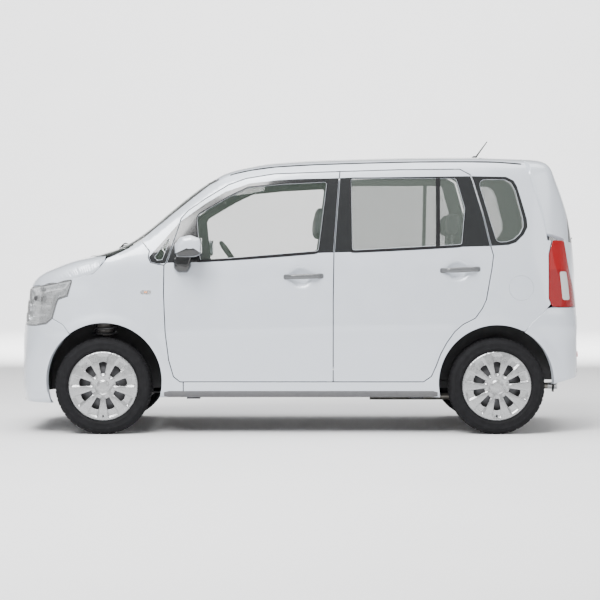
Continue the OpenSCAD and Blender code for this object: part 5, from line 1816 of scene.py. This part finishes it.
class HATCH_OT_plates(Operator):
    """Builds the two blank number plates."""
    bl_idname = "hatch.plates"
    bl_label = "Plates"

    def execute(self, context):
        white = plain_finish("plate_face", (0.80, 0.80, 0.78), 0.35, vary=0.02, grain=0.05)
        bright, trim = bright_metal(), black_trim()
        for name, x, z, way, body in (("front", -1694.6, 515.0, -1, "body"),
                ("rear", 1674.0, 830.0, 1, "tailgate")):
            plate = Shape()
            edge = rounded([(-165, z - 82.5), (165, z - 82.5), (165, z + 82.5), (-165, z + 82.5)], 9, 5)
            levels = [(inset(edge, 0.5), -1.2), (edge, -0.6), (edge, 1.0), (inset(edge, 1.0), 1.4),
                (inset(edge, 4.0), 1.4), (inset(edge, 5.5), 0.6)]
            plate.rings([[(x + way * (t + 0.2), u, v) for u, v in loop] for loop, t in levels], 0)
            for y in (-105, 105):
                plate.turned([(0.01, -1), (7.5, -1), (7.5, 1.0), (6, 1.7), (0.01, 2.0)] if way > 0
                    else [(0.01, 1), (7.5, 1), (7.5, -1.0), (6, -1.7), (0.01, -2.0)], (x + way * 0.8, y, z + 60), 1,
                    24, "x")
            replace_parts(plate.piece(name + "_blank_plate", [white, bright], body), name + "_plate")
            holder = Shape()
            holder.slab(inset(edge, 3), lambda u, v, t: (t, u, v), x - way * 2.0, x - way * 9.0, 1.2)
            holder.piece(name + "_plate_holder", [trim], body)
        return {"FINISHED"}


class HATCH_OT_gate_details(Operator):
    """Builds the handle strip and the lamps of the tailgate."""
    bl_idname = "hatch.gate_details"
    bl_label = "Tailgate Details"

    def execute(self, context):
        paint = body_paint()
        red, clear = red_lens(), clear_lens()
        bar = Shape()
        path = [GATE_MAP.flat(rear_point(y, 952)) for y in np.linspace(-300, 300, 24)]
        strip(bar, GATE_MAP, path, 34, 20, 8)
        bar.piece("tailgate_handle_strip", [paint], "tailgate")
        lamps = Shape()
        for y in (-95, 95):
            p = rear_point(y, 936)
            lamps.block((p.x - 2, y - 24, 927), (p.x + 12, y + 24, 937), 2, 0)
        lamps.piece("plate_lamps", [clear], "tailgate")
        high = Shape()
        path = [GATE_MAP.flat(rear_point(y, 1555)) for y in np.linspace(-130, 130, 14)]
        strip(high, GATE_MAP, path, 22, 7, 8)
        high.piece("high_brake_lamp", [red], "tailgate")
        return {"FINISHED"}


class HATCH_OT_roof_trim(Operator):
    """Builds the roof mouldings, and a dark strip along the sill that is partly its black trim line and partly
    painted shade on the body-coloured sill.
    """
    bl_idname = "hatch.roof_trim"
    bl_label = "Roof Mouldings"

    def execute(self, context):
        rubber = seal_rubber()
        # Painted shade: this dark strip stands for the sill's thin black line and also for the shade on the
        # body-coloured lower sill.
        sill = Shape()
        strip(sill, SIDE_MAP, line((-812, 240), (822, 240), 60), 38, 2.5, 10, 0)
        sill.pair("sill_trim_SIDE", [plain_finish("sill_line_and_shade", (0.11, 0.11, 0.115), 0.5, vary=0.08, grain=0.15)])
        ditch = Shape()
        pts = [(x, -556) for x in np.linspace(-420, 1335, 60)]
        strip(ditch, TOP_MAP, pts, 9, 1.0, 8)
        ditch.pair("roof_moulding_SIDE", [rubber])
        return {"FINISHED"}


# ---- Seats ----

def pillow(shape, middle, half, turn=None, power=4.0, swell=0.0, grooves=(), kind=0, n=44, m=26):
    """Stuffed block: a rounded box that swells in its middle, with sewn grooves across."""
    mid = Vector(middle)
    rings = []
    for i in range(m + 1):
        b = -pi / 2 + pi * i / m
        ring = []
        for k in range(n):
            a = 2 * pi * k / n
            c, s, cb, sb = cos(a), sin(a), cos(b), sin(b)
            p = [copysign(abs(cb) ** (2 / power), 1) * copysign(abs(c) ** (2 / power), c),
                copysign(abs(cb) ** (2 / power), 1) * copysign(abs(s) ** (2 / power), s),
                copysign(abs(sb) ** (2 / power), sb)]
            bulge = 1 + swell * (1 - p[0] ** 2) * (1 - p[1] ** 2)
            q = Vector((p[0] * half[0], p[1] * half[1], p[2] * half[2] * bulge))
            for g in grooves:
                d = abs((q.y if g[0] == "y" else q.x) - g[1])
                if p[2] > 0:
                    q.z -= g[2] * exp(-(d / 7.0) ** 2)
            ring.append(tuple(mid + (turn @ q if turn else q)))
        rings.append(ring)
    shape.rings(rings, kind)


def lean(degrees, axis="Y"):
    return Matrix.Rotation(radians(degrees), 3, axis)


def finish_soft(shape, name, mats):
    obj = shape.piece(name, mats, "body", sharp=60)
    smooth = obj.modifiers.new("smooth", "SUBSURF")
    smooth.levels = smooth.render_levels = 1
    return obj


class HATCH_OT_front_seats(Operator):
    """Builds the two front seats."""
    bl_idname = "hatch.front_seats"
    bl_label = "Front Seats"

    def execute(self, context):
        fabric, side, plastic, steel = seat_finishes()
        for s, word in SIDE_NAME.items():
            y = 350 * s
            soft = Shape()
            pillow(soft, (-205, y, 492), (200, 175, 62), lean(4), 4.2, 0.15,
                [("y", -95, 9), ("y", 95, 9), ("x", 40, 7), ("x", -70, 7)])
            pillow(soft, (42, y, 815), (272, 165, 52), lean(-78), 4.2, 0.15,
                [("y", -90, 8), ("y", 90, 8), ("x", -120, 7), ("x", 60, 7)])
            cushion = finish_soft(soft, "front_seat_cushions_" + word, [fabric])
            sides = Shape()
            for q in (-1, 1):
                pillow(sides, (-195, y + q * 188, 500), (205, 38, 66), lean(5), 3.2, 0.0)
                pillow(sides, (46, y + q * 178, 790), (235, 36, 60), lean(-78), 3.2, 0.0)
            pillow(sides, (100, y, 850), (250, 172, 26), lean(-80), 4.5, 0.0)
            finish_soft(sides, "front_seat_bolsters_" + word, [side])
            head = Shape()
            pillow(head, (126, y, 1268), (92, 122, 40), lean(-84), 3.2, 0.12, [("x", 40, 4)])
            finish_soft(head, "front_headrest_" + word, [fabric])
            hard = Shape()
            for q in (-55, 55):
                hard.tube([(118, y + q, 1060), (124, y + q, 1200)], 5.5, 1, 12)
                hard.block((96, y + q - 13, 1088), (134, y + q + 13, 1106), 4, 0)
            for q in (-195, 195):
                hard.block((-330, y + q - 14, 352), (70, y + q + 14, 378), 4, 1)
                hard.block((-345, y + q - 18, 378), (60, y + q + 18, 408), 6, 0)
            hard.block((-330, y - 170, 396), (40, y + 170, 432), 8, 0)
            hard.turned([(0.01, -14), (32, -14), (34, -6), (30, 4), (0.01, 6)], (20, y + 222, 470), 0, 32)
            hard.block((-235, y - s * 230 - 8, 440), (-120, y - s * 230 + 8, 462), 4, 0)
            hard.piece("front_seat_frame_" + word, [plastic, steel])
            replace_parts(cushion, "front_seats")
        return {"FINISHED"}


class HATCH_OT_rear_seat(Operator):
    """Builds the rear bench."""
    bl_idname = "hatch.rear_seat"
    bl_label = "Rear Seat"

    def execute(self, context):
        fabric, _, plastic, steel = seat_finishes()
        for s, word in SIDE_NAME.items():
            y = 254 * s
            soft = Shape()
            pillow(soft, (672, y, 492), (200, 246, 62), lean(4), 5.0, 0.12,
                [("y", -130, 8), ("y", 130, 8), ("x", -60, 6), ("x", 60, 6)])
            pillow(soft, (918, y, 815), (280, 246, 50), lean(-79), 5.0, 0.12,
                [("y", -130, 8), ("y", 130, 8), ("x", -90, 6), ("x", 80, 6)])
            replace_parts(finish_soft(soft, "rear_seat_cushions_" + word, [fabric]), "rear_seat")
            head = Shape()
            pillow(head, (944, y, 1262), (66, 118, 38), lean(-86), 3.2, 0.12)
            finish_soft(head, "rear_headrest_" + word, [fabric])
            hard = Shape()
            for q in (-50, 50):
                hard.tube([(940, y + q, 1085), (943, y + q, 1215)], 5.5, 1, 12)
                hard.block((922, y + q - 13, 1094), (960, y + q + 13, 1110), 4, 0)
            hard.block((520, y - 235, 408), (900, y + 235, 434), 8, 0)
            hard.block((958, y - 230, 560), (972, y + 230, 1050), 5, 0, lean(8))
            hard.piece("rear_seat_frame_" + word, [plastic, steel])
            buckle = Shape()
            buckle.tube([(835, y - s * 60, 540), (800, y - s * 60, 585)], 9, 0, 12, 0.6)
            buckle.block((785, y - s * 60 - 14, 578), (812, y - s * 60 + 14, 622), 5, 0, lean(-30))
            buckle.piece("rear_buckle_" + word, [plastic])
        return {"FINISHED"}


# ---- Dashboard and steering ----

DASH = [(-896, 702), (-896, 1030), (-860, 1042), (-800, 1040), (-720, 1032), (-655, 1012), (-622, 984), (-606, 950),
    (-612, 905), (-604, 868), (-616, 820), (-660, 742), (-690, 704)]


class HATCH_OT_dashboard(Operator):
    """Builds the dashboard, the dials and the pedals."""
    bl_idname = "hatch.dashboard"
    bl_label = "Dashboard"

    def execute(self, context):
        plastic = cabin_plastic()
        pale = plain_finish("cabin_inlay", (0.30, 0.30, 0.31), 0.45, vary=0.06, grain=0.15)
        gloss, bright, face = gloss_black(), bright_metal(), plain_finish("dial_face", (0.55, 0.57, 0.6), 0.4,
            vary=0.04)
        dash = Shape()
        rings = []
        outline = rounded(DASH, 22, 3)
        for y in np.linspace(-640, 640, 41):
            k = 1.0 - 0.04 * (abs(y) / 640) ** 4
            hood = 16 * exp(-((y - 350) / 150) ** 4)
            stack = 14 * exp(-(y / 130) ** 6)
            rings.append([(-896 + (x + 896) * k + (stack if x > -650 and z < 950 else 0), y,
                z + (hood if z > 1000 and x > -800 else 0)) for x, z in outline])
        dash.rings(rings, 0)
        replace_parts(dash.piece("dashboard_body", [plastic]), "dashboard")
        detail = Shape()
        detail.block((-606, -120, 800), (-578, 120, 935), 8, 1)
        detail.block((-580, -92, 862), (-573, 92, 925), 3, 2)
        for y in (-62, 0, 62):
            detail.turned([(0.01, 0), (22, 0), (20, 13), (16, 16), (0.01, 16)], (-580, y, 826), 3, 32, "x")
        for y in (-590, -165, 165, 590):
            detail.block((-640, y - 52, 952), (-600, y + 52, 998), 7, 2)
            for k in range(4):
                detail.block((-606, y - 46, 958 + 9.5 * k), (-594, y + 46, 961 + 9.5 * k), 1, 0)
        detail.block((-612, -570, 770), (-594, -230, 900), 8, 0)
        detail.block((-597, -430, 868), (-588, -370, 884), 3, 3)
        detail.block((-684, 225, 985), (-655, 475, 1046), 12, 2, lean(-18))
        for y, r in ((290, 34), (368, 42), (438, 26)):
            detail.turned([(0.01, 0), (r, 0), (r + 3, 3), (r + 3, -4), (0.01, -4)], (-654, y, 1012), 4, 40, "x",
                lean(-18))
            detail.tube([(-649, y, 1010), (-648, y - r * 0.5, 1018 + r * 0.3)], 1.6, 3, 6)
        detail.tube([(-600, -40, 812), (-520, -55, 858)], [9, 7], 2, 14)
        pillow(detail, (-512, -57, 868), (20, 18, 24), None, 2.4, 0, (), 0, 20, 12)
        detail.piece("dashboard_details", [plastic, pale, gloss, bright, face])
        pedals = Shape()
        for y, z0 in ((285, 360), (370, 375)):
            pedals.tube([(-800, y, 640), (-770, y, 480), (-740, y, z0 + 20)], 7, 1, 10)
            pedals.block((-752, y - 30, z0 - 22), (-738, y + 30, z0 + 34), 4, 0, lean(-20))
            for k in range(4):
                pedals.block((-740, y - 26, z0 - 14 + 12 * k), (-735, y + 26, z0 - 9 + 12 * k), 1.5, 0, lean(-20))
        pedals.piece("pedals", [seal_rubber(), dark_metal()])
        return {"FINISHED"}


class HATCH_OT_steering(Operator):
    """Builds the steering wheel."""
    bl_idname = "hatch.steering"
    bl_label = "Steering Wheel"

    def execute(self, context):
        leather = plain_finish("wheel_grip", (0.03, 0.03, 0.032), 0.5, vary=0.12, grain=0.4, grain_scale=1600)
        plastic, bright = cabin_plastic(), bright_metal()
        tilt = lean(55)
        mid = Vector((-417, 350, 1018))

        def put(p):
            return tuple(mid + tilt @ Vector(p))
        wheel = Shape()
        n = 96
        rings = []
        for k in range(n):
            a = 2 * pi * k / n
            thick = 12.5 + (1.6 if min(abs(sin(a * 2)), 1) > 0.9 else 0)
            rings.append([put(((166 + thick * cos(t)) * cos(a), (166 + thick * cos(t)) * sin(a),
                thick * 1.1 * sin(t))) for t in np.linspace(0, 2 * pi, 16, endpoint=False)])
        wheel.rings(rings, 0, round_trip=True)
        for a in (pi / 2, -pi / 2, 0):
            pts = []
            for r in np.linspace(48, 160, 8):
                pts.append(put((r * cos(a), r * sin(a), -14 + 12 * (r / 160) ** 2)))
            wheel.tube(pts, [22, 19, 17, 16, 15, 14, 13, 12], 1, 14, 0.45)
        hub = [(0.01, 6), (38, 6), (56, 2), (64, -8), (62, -26), (50, -40), (0.01, -42)]
        rings = [[put((r * (1.15 if abs(cos(2 * pi * k / 48)) < 0.7 else 1.0) * cos(2 * pi * k / 48),
            r * sin(2 * pi * k / 48), t)) for k in range(48)] for r, t in hub]
        wheel.rings(rings, 1)
        rings = [[put((r * cos(2 * pi * k / 32), r * sin(2 * pi * k / 32), t)) for k in range(32)] for r,
            t in ((0.01, 9), (14, 9), (16, 7), (16, 5))]
        wheel.rings(rings, 2)
        column = [put((0, 0, t)) for t in (-36, -120, -200, -284)]
        wheel.tube(column, 24, 1, 24)
        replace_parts(wheel.piece("steering_wheel_grip", [leather, plastic, bright], "steering_wheel"),
            "steering_wheel")
        return {"FINISHED"}


# ---- Cabin lining ----

class HATCH_OT_lining(Operator):
    """Builds the ceiling, the mats and the inside mirror."""
    bl_idname = "hatch.lining"
    bl_label = "Cabin Lining"

    def execute(self, context):
        carpet = cloth("carpet", (0.02, 0.02, 0.022), (0.05, 0.05, 0.053), 380, 0.95)
        ceiling = cloth("ceiling_cloth", (0.42, 0.42, 0.41), (0.55, 0.55, 0.53), 500, 0.95)
        plastic, silver = cabin_plastic(), mirror_silver()
        pale = plain_finish("pale_lining", (0.42, 0.42, 0.41), 0.7, vary=0.05, grain=0.2)
        outline = rounded([(1240, -470), (-330, -470), (-400, -380), (-410, 380), (-330, 470), (1240, 470),
            (1290, 300), (1290, -300)], 60, 5)
        make_panel("ceiling_lining", TOP_MAP, outline, [ceiling, ceiling], both=False, step=60, thick=64,
            offset=-46)
        inside_mirror = Shape()
        pane = rounded([(-115, 1398), (115, 1398), (112, 1452), (-112, 1452)], 16, 5)
        inside_mirror.slab(pane, lambda u, v, t: (-470 + t, u, v), -14, 0, 5, 0)
        inside_mirror.slab(inset(pane, 4), lambda u, v, t: (-470 + t, u, v), 0, 1.6, 0.5, 1)
        inside_mirror.tube([(-480, 0, 1440), (-500, 0, 1478)], 7, 0, 12)
        inside_mirror.piece("inside_mirror", [plastic, silver])
        visors = Shape()
        for s in (-1, 1):
            visors.slab(rounded([(-395, s * 250 - 150), (-395, s * 250 + 150), (-250, s * 250 + 145),
                (-250, s * 250 - 145)], 24, 4), lambda u, v, t: (u, v, 1528 + t + (u + 395) * 0.09), -10, 6, 4, 0)
        visors.piece("sun_visors", [pale])
        mats = Shape()
        for s in (-1, 1):
            mats.slab(rounded([(-780, s * 340 - 170), (-780, s * 340 + 170), (-420, s * 340 + 170),
                (-420, s * 340 - 170)], 40, 4), lambda u, v, t: (u, v, FLOOR_TOP + t), -4, 6, 3, 0)
        mats.piece("floor_mats", [carpet])
        lever = Shape()
        lever.tube([(-150, 60, 330), (-290, 60, 385), (-330, 60, 402)], [13, 15, 16], 0, 16)
        lever.piece("hand_brake", [plastic])
        return {"FINISHED"}


class HATCH_OT_door_linings(Operator):
    """Builds the armrests of the doors."""
    bl_idname = "hatch.door_linings"
    bl_label = "Door Linings"

    def execute(self, context):
        plastic = cabin_plastic()
        pale, bright = plain_finish("door_inlay", (0.30, 0.30, 0.31), 0.7, vary=0.08, grain=0.3), bright_metal()
        for which, x0, x1 in (("front", -560, 120), ("rear", 290, 760)):
            rest = Shape()
            y = -DOOR_LINING_Y
            rest.block((x0 + 60, y - 2, 640), (x1 - 40, y + 44, 676), 12, 0)
            rest.block((x0 + 30, y - 2, 700), (x1 - 30, y + 8, 860), 10, 1)
            rest.block((x0 + 130, y, 400), (x1 - 120, y + 26, 520), 12, 0)
            rest.block((x0 + 70, y + 6, 880), (x0 + 190, y + 16, 916), 5, 0)
            rest.tube([(x0 + 90, y + 18, 898), (x0 + 165, y + 20, 898)], 6, 2, 12, 0.7)
            rest.turned([(0.01, -12), (62, -12), (66, -8), (66, 0), (0.01, 0)], (x0 + 110, y, 470), 0, 40)
            for r in (20, 36, 52):
                rest.turned([(r, 12), (r + 5, 12), (r + 5, 16), (r, 16)], (x0 + 110, y, 470), 1, 40)
            rest.pair(which + "_door_armrest_SIDE", [plastic, pale, bright], which + "_door_SIDE")
        return {"FINISHED"}


# ---- Engine bay ----

class HATCH_OT_engine(Operator):
    """Builds the engine and what stands round it."""
    bl_idname = "hatch.engine"
    bl_label = "Engine Bay"

    def execute(self, context):
        cast = plain_finish("cast_alloy", (0.34, 0.34, 0.35), 0.5, metal=0.75, vary=0.15, grain=0.35,
            grain_scale=300)
        plastic, iron = plain_finish("engine_plastic", (0.03, 0.03, 0.032), 0.55, vary=0.15,
            grain=0.3), dark_metal()
        rubber, bright = seal_rubber(), bright_metal()
        red = plain_finish("cap_red", (0.5, 0.05, 0.03), 0.5, vary=0.1)
        pale = plain_finish("tank_plastic", (0.68, 0.68, 0.62), 0.5, vary=0.05, specular=0.3)
        unit = Shape()
        unit.block((-1440, -150, 420), (-1080, 250, 760), 14, 0)
        for k in range(7):
            unit.block((-1446, -130 + k * 58, 470), (-1438, -122 + k * 58, 730), 2, 0)
        unit.block((-1420, -140, 300), (-1110, 240, 424), 22, 3)
        unit.turned([(0.01, -20), (120, -20), (135, 0), (130, 60), (100, 100), (60, 120), (0.01, 120)],
            (-1300, -180, 430), 0, 40)
        unit.turned([(0.01, 0), (80, 0), (84, 5), (74, 12), (84, 19), (80, 24), (0.01, 24)], (-1290, 262, 470), 3,
            40)
        unit.turned([(0.01, 0), (48, 0), (50, 5), (44, 12), (50, 19), (48, 24), (0.01, 24)], (-1400, 262, 600), 3,
            40)
        unit.tube([(-1370 + 80 * cos(t), 276, 535 + 70 * sin(t)) for t in np.linspace(0.4, 6.6, 40)], 4, 4, 8, 1.0)
        unit.block((-1400, -130, 756), (-1120, 230, 800), 18, 1)
        for k in range(3):
            unit.turned([(0.01, 0), (26, 0), (26, 10), (20, 14), (0.01, 14)], (-1330, -60 + 100 * k, 800), 1, 24,
                "z")
            unit.tube([(-1330, -60 + 100 * k, 812), (-1250, -60 + 100 * k, 826), (-1180, -40 + 80 * k, 800)], 6, 4,
                10)
        unit.turned([(0.01, 0), (28, 0), (30, 10), (26, 18), (0.01, 18)], (-1180, 180, 800), 5, 24, "z")
        for x in (-1390, -1130):
            for y in (-120, 50, 220):
                unit.peg(7, 6, (x, y, 799), 2, 6, "z")
        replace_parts(unit.piece("engine_unit", [cast, plastic, bright, iron, rubber, red]), "engine")
        bay = Shape()
        bay.block((-1440, -500, 640), (-1230, -330, 800), 8, 0)
        for x, y in ((-1400, -415), (-1270, -415)):
            bay.turned([(0.01, 0), (9, 0), (8, 16), (0.01, 16)], (x, y, 800), 2, 20, "z")
        bay.block((-1240, 300, 640), (-1080, 470, 800), 16, 0)
        for k in range(5):
            bay.block((-1230, 310, 660 + 26 * k), (-1078, 474, 667 + 26 * k), 2, 0)
        bay.tube([(-1160, 300, 760), (-1200, 250, 790), (-1260, 230, 790)], 28, 1, 20)
        bay.block((-1420, 380, 700), (-1320, 480, 790), 14, 3)
        bay.peg(24, 16, (-1370, 430, 790), 4, 24, "z")
        bay.tube([(-1370, 430, 760), (-1460, 300, 770), (-1510, 120, 760)], 12, 1, 12)
        bay.block((-1560, -330, 360), (-1520, 330, 700), 5, 0)
        for k in range(22):
            bay.block((-1564, -318 + k * 29.5, 372), (-1516, -310 + k * 29.5, 690), 1.5, 5)
        bay.block((-1566, -350, 690), (-1512, 350, 716), 6, 0)
        bay.block((-1600, -620, 796), (-1556, 620, 826), 6, 0)
        bay.piece("engine_bay_parts", [plastic, rubber, bright, pale, red, cast])
        return {"FINISHED"}


# ---- Finishes of the plain parts underneath ----

class HATCH_OT_under_finishes(Operator):
    """Paints the parts under the car."""
    bl_idname = "hatch.under_finishes"
    bl_label = "Underside Finishes"

    def execute(self, context):
        steel = plain_finish("sealed_steel", (0.028, 0.028, 0.03), 0.7, vary=0.35, scale=9, grain=0.4,
            grain_scale=220)
        axle = plain_finish("axle_steel", (0.022, 0.022, 0.024), 0.55, metal=0.3, vary=0.3, scale=14, grain=0.3,
            grain_scale=300)
        pipe = plain_finish("exhaust_steel_skin", (0.36, 0.34, 0.31), 0.38, metal=0.9, vary=0.22, scale=10,
            grain=0.2)
        tank = plain_finish("tank_black", (0.02, 0.02, 0.022), 0.5, vary=0.25, scale=12, grain=0.2)
        cast = plain_finish("cast_iron_skin", (0.10, 0.095, 0.09), 0.6, metal=0.6, vary=0.3, scale=20, grain=0.4,
            grain_scale=300)
        for skin, names in ((steel, ("floor_pan", "front_subframe")), (axle, ("rear_axle",)), (pipe, ("exhaust",)),
                (tank, ("fuel_tank",)), (cast, ("knuckle_left", "knuckle_right"))):
            for n in names:
                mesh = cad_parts[n].data
                for k in range(max(1, len(mesh.materials))):
                    if len(mesh.materials) > k:
                        mesh.materials[k] = skin
                    else:
                        mesh.materials.append(skin)
        return {"FINISHED"}


class HATCH_OT_under_details(Operator):
    """Builds the springs and the exhaust clamps."""
    bl_idname = "hatch.under_details"
    bl_label = "Underside Details"

    def execute(self, context):
        dark, bright = dark_metal(), bright_metal()
        springs = Shape()
        x, y = -1175, -560
        coils = [(x + 62 * cos(t), y + 62 * sin(t), 606 + 14.5 * t / (2 * pi) * 2.2)
            for t in np.linspace(0, 2 * pi * 4.2, 120)]
        springs.tube(coils, 6.0, 0, 10)
        springs.turned([(50, 0), (72, 0), (74, 4), (50, 8)], (x, y, 596), 0, 40, "z")
        springs.pair("front_spring_SIDE", [dark], "body")
        clamps = Shape()
        for cx in (-700, -200, 300):
            clamps.turned([(23, -12), (27, -12), (27, 12), (23, 12)], (cx, 0, 225), 0, 32, "x")
        for y in (-255, -180, 180, 255):
            clamps.turned([(70.5, -3), (73, -3), (73, 3), (70.5, 3)], (1440, y, 240), 0, 48)
        clamps.turned([(16.0, -8), (18, -60), (20.6, -60), (22.5, -10), (22.5, 0), (21.5, 2), (17.5, 0)],
            (1650, 200, 235), 1, 40, "x")
        clamps.piece("exhaust_clamps", [dark, bright])
        return {"FINISHED"}


# ---- Add-on ----

def colour_property(name, description, default):
    return bpy.props.FloatVectorProperty(name=name, description=description, subtype="COLOR", size=3, min=0.0,
        max=1.0, default=default)


class HATCH_PG_colours(bpy.types.PropertyGroup):
    """Colours of the car."""
    paint: colour_property("Paint", "Colour of the body paint", (0.60, 0.64, 0.70))
    trim: colour_property("Trim", "Colour of the black plastic outside", (0.02, 0.02, 0.021))
    clear_glass: colour_property("Front glass", "Tint of the front door glass and the windscreen",
        (0.105, 0.135, 0.11))
    dark_glass: colour_property("Rear glass", "Tint of the glass behind the front doors", (0.12, 0.14, 0.125))
    cabin: colour_property("Cabin", "Colour of the cabin plastic", (0.10, 0.10, 0.11))
    seat: colour_property("Seat cloth", "Colour of the seat cloth", (0.085, 0.09, 0.10))
    cover: colour_property("Wheel covers", "Colour of the wheel covers", (0.40, 0.405, 0.41))


class HATCH_PG_sizes(bpy.types.PropertyGroup):
    """Sizes of the details."""
    panel_gap: bpy.props.FloatProperty(name="Panel gap", description="Gap between two body panels", default=0.005,
        min=0.003, max=0.008, unit="LENGTH")
    sky: bpy.props.FloatProperty(name="Sky", description="Brightness of the light from all round", default=0.5,
        min=0.2, max=5.0)


OPERATORS = [HATCH_OT_sides, HATCH_OT_roof, HATCH_OT_bonnet, HATCH_OT_tailgate, HATCH_OT_doors,
    HATCH_OT_fixed_glass, HATCH_OT_front_bumper, HATCH_OT_grille, HATCH_OT_headlamps, HATCH_OT_side_lamps,
    HATCH_OT_tail_lamps, HATCH_OT_rear_bumper, HATCH_OT_flap, HATCH_OT_handles, HATCH_OT_mirrors,
    HATCH_OT_door_trim, HATCH_OT_wheels, HATCH_OT_tyres, HATCH_OT_brakes, HATCH_OT_cowl, HATCH_OT_wipers,
    HATCH_OT_aerial, HATCH_OT_plates, HATCH_OT_gate_details, HATCH_OT_roof_trim, HATCH_OT_front_seats,
    HATCH_OT_rear_seat, HATCH_OT_dashboard, HATCH_OT_steering, HATCH_OT_lining, HATCH_OT_door_linings,
    HATCH_OT_engine, HATCH_OT_under_finishes, HATCH_OT_under_details, HATCH_OT_stage,]


class HATCH_PT_panel(bpy.types.Panel):
    """Buttons that build each group of pieces."""
    bl_label = "Hatchback"
    bl_idname = "HATCH_PT_panel"
    bl_space_type = "VIEW_3D"
    bl_region_type = "UI"
    bl_category = "Hatchback"

    def draw(self, context):
        for op in OPERATORS:
            self.layout.operator(op.bl_idname)


CLASSES = [HATCH_PG_colours, HATCH_PG_sizes, *OPERATORS, HATCH_PT_panel]


def register():
    for c in CLASSES:
        bpy.utils.register_class(c)
    bpy.types.Scene.hatch_colours = bpy.props.PointerProperty(type=HATCH_PG_colours)
    bpy.types.Scene.hatch_sizes = bpy.props.PointerProperty(type=HATCH_PG_sizes)


def unregister():
    del bpy.types.Scene.hatch_colours
    del bpy.types.Scene.hatch_sizes
    for c in reversed(CLASSES):
        bpy.utils.unregister_class(c)


def main():
    register()
    for op in OPERATORS:
        getattr(bpy.ops.hatch, op.bl_idname.split(".")[1])()


if __name__ == "__main__":
    main()
